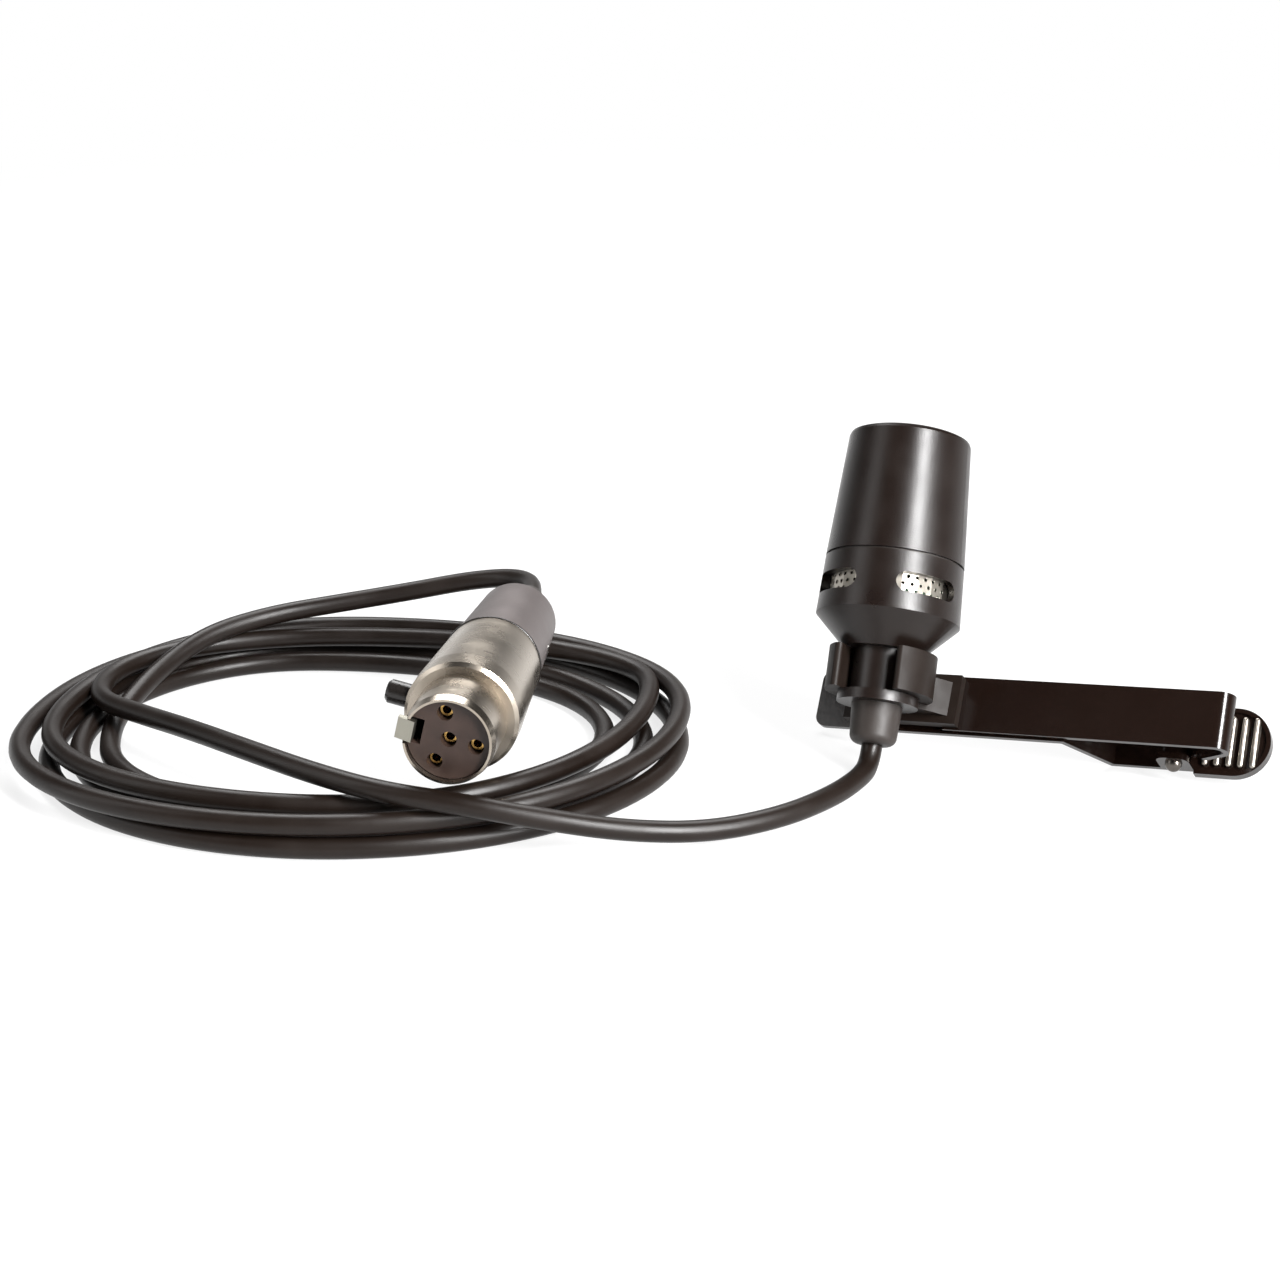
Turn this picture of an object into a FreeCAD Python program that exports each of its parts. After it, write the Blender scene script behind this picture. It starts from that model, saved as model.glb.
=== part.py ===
import FreeCAD, Part

import math
import os

import Sketcher
from FreeCAD import Placement, Rotation, Vector

# Lavalier microphone on a tie clip, with its coiled lead and four-contact mini connector.
#
# Millimetres, +Z up. Everything lies on a flat surface at Z = 0 as in the photograph, and the
# origin is under the middle of the microphone and its clip.
#
# The microphone frame has its Z along the microphone, up to the cap, with its origin in the middle
# of the neck. The clip frame has X along the tie bar, Y across it and Z towards the microphone,
# with its origin on the bar's front face beside the neck. The plug frame has its Z along the
# connector, from the front rim to the lead, and its X towards the latch.

SIZES = {
    # The microphone's capsule housing, measured along its axis.
    "cap_length": 12.9,
    "cap_top_radius": 6.15,
    "cap_foot_radius": 6.95,
    "cap_bore_radius": 5.45,
    "cap_rim_round": 0.45,
    "cap_lip_opening": 4.9,
    "cap_lip_thickness": 0.7,
    "grille_thickness": 0.45,
    "grille_hole_radius": 0.42,
    "grille_hole_pitch": 1.3,
    "cloth_thickness": 0.2,
    "capsule_radius": 4.8,
    "capsule_length": 6.4,
    "capsule_vent_radius": 0.6,
    "mount_floor": 0.7,
    "mount_opening": 3.0,
    "capsule_board_thickness": 0.8,
    "retainer_opening": 4.2,
    "seal_height": 0.25,
    "seal_recess": 0.3,
    # The slotted ring and the turned base under it.
    "ring_length": 5.55,
    "ring_foot_radius": 7.2,
    "ring_wall": 0.75,
    "ring_web": 0.5,
    "collar_rise": 1.9,
    "collar_wall": 0.7,
    "slot_sweep": 56.0,
    "slot_height": 2.0,
    "slot_bearing": 52.5,
    "screen_wall": 0.25,
    "screen_hole_radius": 0.2,
    "screen_pitch": 0.9,
    "screen_row": 0.7,
    "base_shoulder": 0.9,
    "base_land": 0.25,
    "spigot_height": 1.4,
    "spigot_wall": 0.8,
    "cone_length": 3.4,
    "cone_foot_radius": 4.05,
    "neck_radius": 3.0,
    "neck_length": 4.4,
    "flange_radius": 4.05,
    "flange_thickness": 1.0,
    "base_bore_radius": 1.9,
    "terminal_thickness": 0.8,
    "contact_pin_radius": 0.35,
    "contact_pin_offset": 1.6,
    "pin_tail": 0.8,
    "pin_collar_radius": 0.6,
    "pin_collar_height": 0.4,
    # The rubber boot, the cord and its ferrule.
    "boot_radius": 2.55,
    "boot_tip_radius": 2.35,
    "boot_length": 4.0,
    "boot_tip_round": 0.9,
    "boot_spigot_length": 3.4,
    "cord_diameter": 2.1,
    "cord_clearance": 0.03,
    "ferrule_wall": 0.45,
    "ferrule_length": 2.2,
    "cord_beyond": 1.6,
    "seat_gap": 0.05,
    # The plastic holder that snaps round the neck.
    "holder_wall": 2.35,
    "holder_mouth": 5.7,
    "holder_tilt": 8.8,
    "holder_reach": 6.5,
    "holder_rise": 0.35,
    "holder_tip_round": 0.45,
    "relief_gap": 0.15,
    "holder_plate_thickness": 1.2,
    "holder_plate_left": 5.4,
    "holder_plate_right": 6.5,
    "holder_plate_width": 5.2,
    "holder_saddle_width": 3.6,
    "holder_saddle_height": 3.2,
    "saddle_left": 3.8,
    "saddle_right": 5.6,
    "saddle_top": 2.9,
    "peg_radius": 0.65,
    "peg_spacing": 3.0,
    # The tie bar: front face, tongue, bend, return leaf and knuckle.
    "bar_width": 5.7,
    "bar_sheet": 0.6,
    "bar_start": 4.9,
    "bar_end": 31.9,
    "bend_radius": 1.4,
    "tongue_width": 3.6,
    "tongue_end": 4.8,
    "leaf_offset": 0.15,
    "knuckle_width": 4.6,
    "knuckle_neck": 3.2,
    "spring_gap": 2.3,
    "pin_radius": 0.6,
    "pin_clearance": 0.05,
    "pin_setback": 4.7,
    "pin_depth": 5.1,
    "pin_head_radius": 0.85,
    # The rear lever: jaw plate, jog, ears and ribbed thumb pad.
    "lever_sheet": 0.65,
    "lever_width": 6.1,
    "jaw_gap": 0.15,
    "jaw_left": 9.2,
    "jaw_corner": 1.1,
    "jog_start": 16.9,
    "jog_length": 3.6,
    "jog_mitre": 0.365,
    "jog_round": 0.6,
    "handle_depth": 6.65,
    "handle_reach": 8.8,
    "pad_width": 7.0,
    "pad_reach": 1.7,
    "rib_count": 5,
    "rib_pitch": 1.15,
    "rib_width": 0.55,
    "rib_height": 0.3,
    "rib_first": 0.7,
    "rib_reach": 2.5,
    "rim_width": 0.45,
    "rim_height": 0.25,
    "ear_length": 3.2,
    "ear_front": 1.55,
    "ear_round": 1.1,
    # The torsion spring round the hinge pin.
    "spring_wire": 0.4,
    "spring_radius": 0.95,
    "spring_turns": 3,
    "spring_pitch": 0.45,
    "spring_upper_leg": 4.25,
    "spring_lower_leg": 2.1,
    "spring_rest_gap": 0.04,
    # The mini connector, measured back from its front rim.
    "barrel_radius": 4.375,
    "barrel_bore": 3.95,
    "barrel_nose": 5.9,
    "nose_taper": 0.95,
    "nose_taper_depth": 0.2,
    "barrel_end": 20.3,
    "body_radius": 5.5,
    "body_land": 2.6,
    "body_chamfer": 0.35,
    "body_rear_radius": 4.85,
    "rear_bore": 4.45,
    "insert_face": 0.7,
    "insert_seat": 9.5,
    "insert_end": 11.4,
    "contact_radius": 0.62,
    "contact_bore": 0.42,
    "contact_circle": 2.6,
    "contact_side_angle": 71.0,
    "contact_recess": 0.9,
    "contact_tail": 2.2,
    "contact_hole_radius": 0.75,
    "gasket_thickness": 0.4,
    "gasket_recess": 0.2,
    "cover_end": 33.9,
    "cover_front_radius": 4.8,
    "cover_rear_radius": 4.1,
    "cover_nose_radius": 3.3,
    "cover_nose_length": 0.9,
    "cover_bore": 3.4,
    "cover_back_wall": 1.6,
    "plug_boot_radius": 2.2,
    "plug_boot_tip": 1.75,
    "plug_boot_length": 5.4,
    "plug_boot_collar": 2.9,
    "boot_collar_length": 1.2,
    "collet_radius": 2.5,
    "collet_length": 5.0,
    "plug_screw_radius": 0.8,
    "plug_screw_at": 26.8,
    "plug_screw_length": 1.05,
    "screw_slot": 0.3,
    "latch_width": 2.1,
    "latch_sheet": 0.45,
    "latch_inner": 3.3,
    "latch_front": 0.05,
    "latch_hook_length": 0.85,
    "latch_hook_top": 4.9,
    "latch_hook_slope": 0.3,
    "latch_pivot": 10.5,
    "latch_pin_radius": 0.35,
    "latch_eye_radius": 0.75,
    "latch_clearance": 0.2,
    "latch_channel_floor": 2.5,
    "pivot_bearing": 0.45,
    "button_radius": 1.15,
    "button_at": 7.6,
    "button_top": 7.6,
    "button_round": 0.3,
    "button_hole_clearance": 0.25,
    # Where the frames stand on the surface.
    "clip_x": -13.12,
    "clip_y": 1.3,
    "clip_z": 4.63,
    "clip_yaw": -26.4,
    "clip_pitch": -6.6,
    "clip_roll": 50.0,
    "plug_x": -57.21,
    "plug_y": -23.27,
    "plug_z": 10.3,
    "plug_heading": 8.3,
    "plug_rise": 0.0,
    "plug_turn": 13.3,
    # The coil of cord beside the microphone.
    "coil_x": -72.6,
    "coil_y": 1.45,
    "coil_half_length": 31.0,
    "coil_half_width": 28.0,
    "coil_pitch": 3.1,
    "coil_layer": 2.6,
    "coil_turns_out": 2.5,
    "coil_turns": 5.25,
}

CORD_NODES = ("lead", "coil", "tail")


class Size:
    """A number of the model, with the text that ties it to the named sizes."""

    def __init__(self, value, text):
        self.value = float(value)
        self.text = text

    def _with(self, other, sign, value):
        return Size(value, f"({self.text} {sign} {as_size(other).text})")

    def __add__(self, other):
        return self._with(other, "+", self.value + as_size(other).value)

    def __sub__(self, other):
        return self._with(other, "-", self.value - as_size(other).value)

    def __mul__(self, other):
        return self._with(other, "*", self.value * as_size(other).value)

    def __truediv__(self, other):
        return self._with(other, "/", self.value / as_size(other).value)

    def __neg__(self):
        return Size(-self.value, f"(0 - {self.text})")

    def __float__(self):
        return self.value


def as_size(number):
    """Return a Size for a plain number, and a Size as it is."""
    return number if isinstance(number, Size) else Size(number, repr(float(number)))


def sine(angle):
    """Return the sine of an angle in degrees, as a Size."""
    return Size(math.sin(math.radians(float(angle))), f"sin({as_size(angle).text})")


def cosine(angle):
    """Return the cosine of an angle in degrees, as a Size."""
    return Size(math.cos(math.radians(float(angle))), f"cos({as_size(angle).text})")


class Sheet:
    """Gives each named size of the list above."""

    def __init__(self, document):
        self.cells = document.addObject("Spreadsheet::Sheet", "Sizes")
        for row, (alias, number) in enumerate(SIZES.items(), start=1):
            self.cells.set(f"A{row}", alias)
            self.cells.set(f"B{row}", str(number))
            self.cells.setAlias(f"B{row}", alias)
        document.recompute()

    def __getattr__(self, alias):
        return Size(self.cells.get(alias), f"Sizes.{alias}")


doc = FreeCAD.newDocument("lavalier_microphone")
S = Sheet(doc)


def root(number):
    """Return the square root of a Size."""
    return Size(math.sqrt(float(number)), f"sqrt({as_size(number).text})")


def frame(name, x, y, z, turns, parent=None):
    """Place a named frame; turns are (axis, angle) pairs, the outermost first."""
    place = doc.addObject("App::Placement", name)
    place.Label = name.replace("_", " ")
    text = f"{parent}.Placement * " if parent else ""
    text += "create(<<placement>>; create(<<vector>>; "
    text += "; ".join(as_size(v).text for v in (x, y, z))
    text += "); create(<<rotation>>; 0; 0; 0))"
    for axis, angle in turns:
        unit = "; ".join(str(v) for v in axis)
        text += " * create(<<placement>>; create(<<vector>>; 0; 0; 0); create(<<rotation>>; "
        text += f"create(<<vector>>; {unit}); {as_size(angle).text}))"
    place.setExpression("Placement", text)
    doc.recompute()
    return name


def piece(name, label, frame_name):
    """Start a body that stands in one of the frames."""
    body = doc.addObject("PartDesign::Body", name)
    body.Label = label
    body.setExpression("Placement", f"{frame_name}.Placement")
    return body


def tie(sketch, kind, geometry, point, size):
    """Hold one coordinate of a sketch point at a size."""
    axis = -2 if kind == "DistanceX" else -1
    if isinstance(size, Size) or abs(float(size)) > 1e-9:
        row = sketch.addConstraint(
            Sketcher.Constraint(kind, -1, 1, geometry, point, float(size)))
        if isinstance(size, Size):
            sketch.setExpression(f"Constraints[{row}]", size.text)
    else:
        sketch.addConstraint(Sketcher.Constraint("PointOnObject", geometry, point, axis))


def add_circle(sketch, x, y, radius):
    """Draw one circle."""
    centre = Vector(float(x), float(y), 0)
    circle = Part.Circle(centre, Vector(0, 0, 1), float(radius))
    row = sketch.addGeometry(circle)
    tie(sketch, "DistanceX", row, 3, x)
    tie(sketch, "DistanceY", row, 3, y)
    held = sketch.addConstraint(Sketcher.Constraint("Radius", row, float(radius)))
    if isinstance(radius, Size):
        sketch.setExpression(f"Constraints[{held}]", radius.text)


def arc_between(start, end, radius):
    """Return the arc from start to end, turning left for a positive radius."""
    chord = end - start
    half = chord.Length / 2
    rise = math.sqrt(max(radius * radius - half * half, 0))
    side = Vector(-chord.y, chord.x, 0).normalize() * math.copysign(1, radius)
    centre = (start + end) * 0.5 + side * rise
    first, last = (start, end) if radius > 0 else (end, start)
    angle_1 = math.atan2(first.y - centre.y, first.x - centre.x)
    angle_2 = math.atan2(last.y - centre.y, last.x - centre.x)
    if angle_2 < angle_1:
        angle_2 += 2 * math.pi
    return Part.ArcOfCircle(Part.Circle(centre, Vector(0, 0, 1), abs(radius)), angle_1, angle_2)


def add_loop(sketch, corners):
    """Draw a closed outline; a third number makes the edge after that corner an arc."""
    points = [Vector(float(c[0]), float(c[1]), 0) for c in corners]
    ends = []
    for index, corner in enumerate(corners):
        start, end = points[index], points[(index + 1) % len(points)]
        if len(corner) == 3:
            radius = corner[2]
            row = sketch.addGeometry(arc_between(start, end, float(radius)))
            held = sketch.addConstraint(
                Sketcher.Constraint("Radius", row, abs(float(radius))))
            if isinstance(radius, Size):
                text = radius.text if float(radius) > 0 else (-radius).text
                sketch.setExpression(f"Constraints[{held}]", text)
            ends.append((row, 1, 2) if float(radius) > 0 else (row, 2, 1))
        else:
            ends.append((sketch.addGeometry(Part.LineSegment(start, end)), 1, 2))
    for index, corner in enumerate(corners):
        before, here = ends[index - 1], ends[index]
        sketch.addConstraint(
            Sketcher.Constraint("Coincident", before[0], before[2], here[0], here[1]))
        tie(sketch, "DistanceX", here[0], here[1], corner[0])
        tie(sketch, "DistanceY", here[0], here[1], corner[1])


def add_flat_sides(sketch, count, x, y, radius):
    """Draw an outline of equal flat sides; its corners follow from the named sizes."""
    corners = []
    for index in range(count):
        angle = 2 * math.pi * (index + 0.5) / count
        corners.append(Vector(float(x) + float(radius) * math.cos(angle),
                              float(y) + float(radius) * math.sin(angle), 0))
    sketch.addGeometry([Part.LineSegment(corners[index - 1], corners[index])
                        for index in range(count)])


def draw(body, name, plane, loops, lift=0, tilt=0, along=0):
    """Draw a sketch on a plane of the body, moved along its normal and tilted about its X."""
    sketch = body.newObject("Sketcher::SketchObject", name)
    base = [f for f in body.Origin.OriginFeatures if f.Role == plane + "_Plane"][0]
    sketch.AttachmentSupport = [(base, "")]
    sketch.MapMode = "FlatFace"
    turn = Rotation(Vector(1, 0, 0), float(tilt))
    sketch.AttachmentOffset = Placement(Vector(0, float(along), float(lift)), turn)
    for path, number in (("Base.z", lift), ("Base.y", along), ("Rotation.Angle", tilt)):
        if isinstance(number, Size):
            sketch.setExpression(f"AttachmentOffset.{path}", number.text)
    for loop in loops:
        if loop[0] == "circle":
            add_circle(sketch, *loop[1:])
        elif loop[0] == "flat sides":
            add_flat_sides(sketch, *loop[1:])
        else:
            add_loop(sketch, loop)
    return sketch


def extrude(body, kind, name, sketch, length, both=False, back=False):
    """Pad or pocket a sketch; both takes half the length to each side."""
    feature = body.newObject("PartDesign::" + kind, name)
    feature.Profile = sketch
    feature.SideType = "Symmetric" if both else "One side"
    feature.Reversed = back
    feature.Length = float(length)
    if isinstance(length, Size):
        feature.setExpression("Length", length.text)
    sketch.Visibility = False
    doc.recompute()
    return feature


def pad(body, name, sketch, length, both=False, back=False):
    """Add material from a sketch."""
    return extrude(body, "Pad", name, sketch, length, both, back)


def cut(body, name, sketch, length, both=False, back=False):
    """Take material away and check that some of it went."""
    before = body.Shape.Volume
    feature = extrude(body, "Pocket", name, sketch, length, both, back)
    if not body.Shape.Volume < before - 1e-4:
        raise RuntimeError(f"{body.Name}: {name} takes nothing away")
    return feature


def turned(body, name, *loops):
    """Turn an outline of radii and heights about the body's Z."""
    sketch = draw(body, name + "_outline", "XZ", loops)
    feature = body.newObject("PartDesign::Revolution", name)
    feature.Profile = sketch
    feature.ReferenceAxis = (sketch, ["V_Axis"])
    feature.Angle = 360
    doc.recompute()
    return feature


def around(body, name, feature, count):
    """Repeat a feature round the body's Z."""
    pattern = body.newObject("PartDesign::PolarPattern", name)
    pattern.Originals = [feature]
    axis = [f for f in body.Origin.OriginFeatures if f.Role == "Z_Axis"][0]
    pattern.Axis = (axis, [""])
    pattern.Angle = 360
    pattern.Occurrences = count
    body.Tip = pattern
    doc.recompute()
    return pattern


def round_edges(body, name, radius, wanted, kind="Fillet"):
    """Round or bevel the edges whose middle, in the body's own frame, passes the test."""
    tip = body.Tip
    names = []
    for index, edge in enumerate(tip.Shape.Edges, start=1):
        middle = edge.valueAt((edge.FirstParameter + edge.LastParameter) / 2)
        if wanted(middle, edge):
            names.append(f"Edge{index}")
    finish = body.newObject("PartDesign::" + kind, name)
    finish.Base = (tip, names)
    size = "Radius" if kind == "Fillet" else "Size"
    setattr(finish, size, float(radius))
    finish.setExpression(size, radius.text)
    body.Tip = finish
    doc.recompute()
    return finish


def box(x0, y0, x1, y1):
    """Return the corners of a rectangle."""
    return [(x0, y0), (x1, y0), (x1, y1), (x0, y1)]


def ring(r0, z0, r1, z1):
    """Return the outline of a plain turned ring."""
    return box(r0, z0, r1, z1)


# The frames.

frame("clip_frame", S.clip_x, S.clip_y, S.clip_z,
      [((0, 0, 1), S.clip_yaw), ((0, 1, 0), S.clip_pitch), ((1, 0, 0), S.clip_roll)])
frame("mic_frame", 0, S.holder_rise, S.holder_reach,
      [((1, 0, 0), S.holder_tilt - 90)], "clip_frame")
frame("slot_frame", 0, 0, 0, [((0, 0, 1), S.slot_bearing)], "mic_frame")
pin_at = S.bar_end - S.pin_setback
frame("pin_frame", pin_at, 0, -S.pin_depth, [((1, 0, 0), -90)], "clip_frame")
frame("plug_frame", S.plug_x, S.plug_y, S.plug_z,
      [((0, 0, 1), -S.plug_heading), ((1, 0, 0), S.plug_rise - 90),
       ((0, 0, 1), S.plug_turn + 180)])
frame("screw_frame", 0, 0, S.plug_screw_at, [((0, 1, 0), -90)], "plug_frame")

# Heights along the microphone.

neck_top = S.neck_length / 2
neck_foot = -neck_top
flange_foot = neck_foot - S.flange_thickness
boot_foot = flange_foot - S.boot_length
ring_foot = neck_top + S.cone_length
ring_top = ring_foot + S.ring_length
cap_foot = ring_top + S.seal_height
cap_top = cap_foot + S.cap_length
web_foot = ring_top - S.ring_web
collar_top = ring_top + S.collar_rise
collar_radius = S.cap_bore_radius + S.collar_wall - S.seat_gap
lip_foot = cap_top - S.cap_lip_thickness
grille_foot = lip_foot - S.grille_thickness
cloth_foot = grille_foot - S.cloth_thickness
capsule_foot = cloth_foot - S.capsule_length
mount_foot = capsule_foot - S.mount_floor
board_foot = mount_foot - S.capsule_board_thickness
inside = S.cap_bore_radius - S.seat_gap
cord_bore = S.cord_diameter / 2 + S.cord_clearance


def make_capsule():
    """Build the cap and everything in it."""
    rim_step = S.cap_rim_round * (1 - math.sqrt(0.5))
    cap = piece("cap_shell", "Cap shell", "mic_frame")
    turned(cap, "shell", [
        (collar_radius + S.seat_gap, cap_foot),
        (S.cap_foot_radius, cap_foot),
        (S.cap_top_radius, cap_top - S.cap_rim_round),
        (S.cap_top_radius - rim_step, cap_top - rim_step),
        (S.cap_top_radius - S.cap_rim_round, cap_top),
        (S.cap_lip_opening, cap_top),
        (S.cap_lip_opening, lip_foot),
        (S.cap_bore_radius, lip_foot),
        (S.cap_bore_radius, collar_top + S.seat_gap),
        (collar_radius + S.seat_gap, collar_top + S.seat_gap),
    ])

    grille = piece("front_grille", "Front grille", "mic_frame")
    pad(grille, "disc", draw(grille, "disc_outline", "XY", [("circle", 0, 0, inside)],
                             lift=grille_foot), S.grille_thickness)
    holes = []
    for row in range(-3, 4):
        for column in range(-3, 4):
            if abs(row + column) > 3:
                continue
            across = S.grille_hole_pitch * (column + row / 2)
            up = S.grille_hole_pitch * (row * math.sqrt(3) / 2)
            holes.append(("flat sides", 6, across, up, S.grille_hole_radius))
    cut(grille, "holes", draw(grille, "hole_field", "XY", holes, lift=lip_foot),
        S.grille_thickness)

    cloth = piece("grille_cloth", "Grille cloth", "mic_frame")
    pad(cloth, "disc", draw(cloth, "disc_outline", "XY", [("circle", 0, 0, inside)],
                            lift=cloth_foot), S.cloth_thickness)

    capsule = piece("capsule", "Electret capsule", "mic_frame")
    turned(capsule, "can", ring(0, capsule_foot, S.capsule_radius, cloth_foot))
    cut(capsule, "vent", draw(capsule, "vent_outline", "XY",
                              [("circle", 0, 0, S.capsule_vent_radius)], lift=cloth_foot),
        S.mount_floor)

    mount = piece("capsule_mount", "Rubber capsule mount", "mic_frame")
    turned(mount, "cup", [
        (S.mount_opening, mount_foot), (inside, mount_foot), (inside, cloth_foot),
        (S.capsule_radius, cloth_foot), (S.capsule_radius, capsule_foot),
        (S.mount_opening, capsule_foot),
    ])

    board = piece("capsule_board", "Capsule circuit board", "mic_frame")
    turned(board, "disc", ring(0, board_foot, inside, mount_foot))

    retainer = piece("retaining_ring", "Threaded retaining ring", "mic_frame")
    turned(retainer, "ring", ring(S.retainer_opening, collar_top, inside, board_foot))

    seal = piece("seal_ring", "Seal ring", "mic_frame")
    turned(seal, "ring", ring(collar_radius + S.seat_gap, ring_top,
                              S.cap_foot_radius - S.seal_recess, cap_foot))


def make_ring_and_base():
    """Build the slotted ring, its perforated sleeve and the turned base."""
    sleeve_radius = S.cap_foot_radius - S.ring_wall - S.seat_gap
    screen_sides = 24
    middle = (ring_foot + web_foot) / 2
    reach = S.ring_foot_radius * sine(S.slot_sweep / 2)
    half = S.slot_height / 2

    port = piece("port_ring", "Slotted port ring", "slot_frame")
    turned(port, "ring", [
        (sleeve_radius + S.seat_gap, ring_foot), (S.ring_foot_radius, ring_foot),
        (S.cap_foot_radius, ring_top), (collar_radius, ring_top), (collar_radius, collar_top),
        (collar_radius - S.collar_wall, collar_top), (collar_radius - S.collar_wall, web_foot),
        (sleeve_radius + S.seat_gap, web_foot),
    ])
    straight = reach - half
    slot = draw(port, "slot_outline", "XZ", [[
        (-straight, middle - half), (straight, middle - half, half), (reach, middle, half),
        (straight, middle + half), (-straight, middle + half, half), (-reach, middle, half),
    ]])
    opening = cut(port, "slot", slot, S.ring_foot_radius + 1, back=True)
    around(port, "slots", opening, 4)

    sleeve = piece("port_screen", "Perforated screen sleeve", "slot_frame")
    tube = draw(sleeve, "tube_outline", "XY", [
        ("flat sides", screen_sides, 0, 0, sleeve_radius),
        ("flat sides", screen_sides, 0, 0, sleeve_radius - S.screen_wall)], lift=ring_foot)
    pad(sleeve, "tube", tube, web_foot - ring_foot)
    holes = []
    for row, shift in ((-1, 0.0), (0, 0.5), (1, 0.0)):
        for column in range(-2, 3) if shift == 0 else range(-3, 3):
            across = S.screen_pitch * (column + shift)
            up = middle + S.screen_row * row
            holes.append(("flat sides", 6, across, up, S.screen_hole_radius))
    field = draw(sleeve, "hole_field", "XZ", holes)
    opening = cut(sleeve, "holes", field, S.ring_foot_radius, back=True)
    around(sleeve, "hole_fields", opening, 4)

    spigot = (sleeve_radius - S.screen_wall) * cosine(180 / screen_sides) - S.seat_gap
    floor = ring_foot - S.base_shoulder
    base = piece("mic_base", "Turned base and neck", "mic_frame")
    turned(base, "body", [
        (S.base_bore_radius, flange_foot), (S.flange_radius, flange_foot),
        (S.flange_radius, neck_foot), (S.neck_radius, neck_foot), (S.neck_radius, neck_top),
        (S.cone_foot_radius, neck_top), (S.ring_foot_radius, ring_foot - S.base_land),
        (S.ring_foot_radius, ring_foot), (spigot, ring_foot),
        (spigot, ring_foot + S.spigot_height),
        (spigot - S.spigot_wall, ring_foot + S.spigot_height),
        (spigot - S.spigot_wall, floor), (S.base_bore_radius, floor),
    ])

    terminal_foot = ring_foot + S.spigot_height
    terminal_top = terminal_foot + S.terminal_thickness
    terminal = piece("terminal_board", "Terminal board", "mic_frame")
    turned(terminal, "disc", ring(0, terminal_foot, spigot, terminal_top))
    sides = [("circle", S.contact_pin_offset * side, 0, S.contact_pin_radius)
             for side in (-1, 1)]
    cut(terminal, "pin_holes", draw(terminal, "pin_marks", "XY", sides, lift=terminal_top),
        S.terminal_thickness)
    for index, side in enumerate((-1, 1), start=1):
        place = frame(f"contact_pin_{index}_frame", S.contact_pin_offset * side, 0, 0, [],
                      "mic_frame")
        pin = piece(f"contact_pin_{index}", f"Contact pin {index}", place)
        turned(pin, "pin", [
            (0, terminal_foot - S.pin_tail), (S.contact_pin_radius, terminal_foot - S.pin_tail),
            (S.contact_pin_radius, terminal_top), (S.pin_collar_radius, terminal_top),
            (S.pin_collar_radius, terminal_top + S.pin_collar_height),
            (S.contact_pin_radius, terminal_top + S.pin_collar_height),
            (S.contact_pin_radius, board_foot), (0, board_foot),
        ])

    spigot_top = flange_foot + S.boot_spigot_length
    boot = piece("mic_boot", "Rubber strain relief", "mic_frame")
    turned(boot, "boot", [
        (cord_bore, boot_foot), (S.boot_tip_radius - S.boot_tip_round, boot_foot,
                                 S.boot_tip_round),
        (S.boot_tip_radius, boot_foot + S.boot_tip_round), (S.boot_radius, flange_foot),
        (S.base_bore_radius, flange_foot), (S.base_bore_radius, spigot_top),
        (cord_bore, spigot_top),
    ])
    ferrule = piece("cord_ferrule", "Crimped cord ferrule", "mic_frame")
    turned(ferrule, "tube", ring(cord_bore, spigot_top, cord_bore + S.ferrule_wall,
                                 spigot_top + S.ferrule_length))
    stub = piece("cord_stub", "Cord inside the boot", "mic_frame")
    turned(stub, "cord", ring(0, boot_foot, S.cord_diameter / 2,
                              spigot_top + S.ferrule_length + S.cord_beyond))


def leaf_line():
    """Return the length and the direction of the bar's return leaf, up from the pin."""
    run_z = S.pin_depth - S.bend_radius
    span = root(S.pin_setback * S.pin_setback + run_z * run_z)
    reach = root(span * span - S.leaf_offset * S.leaf_offset)
    # The leaf's middle passes behind the pin's axis, so its line leans a little further.
    lean_x = (S.pin_setback * reach + run_z * S.leaf_offset) / (span * span)
    lean_z = (run_z * reach - S.pin_setback * S.leaf_offset) / (span * span)
    return reach, lean_x, lean_z


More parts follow.
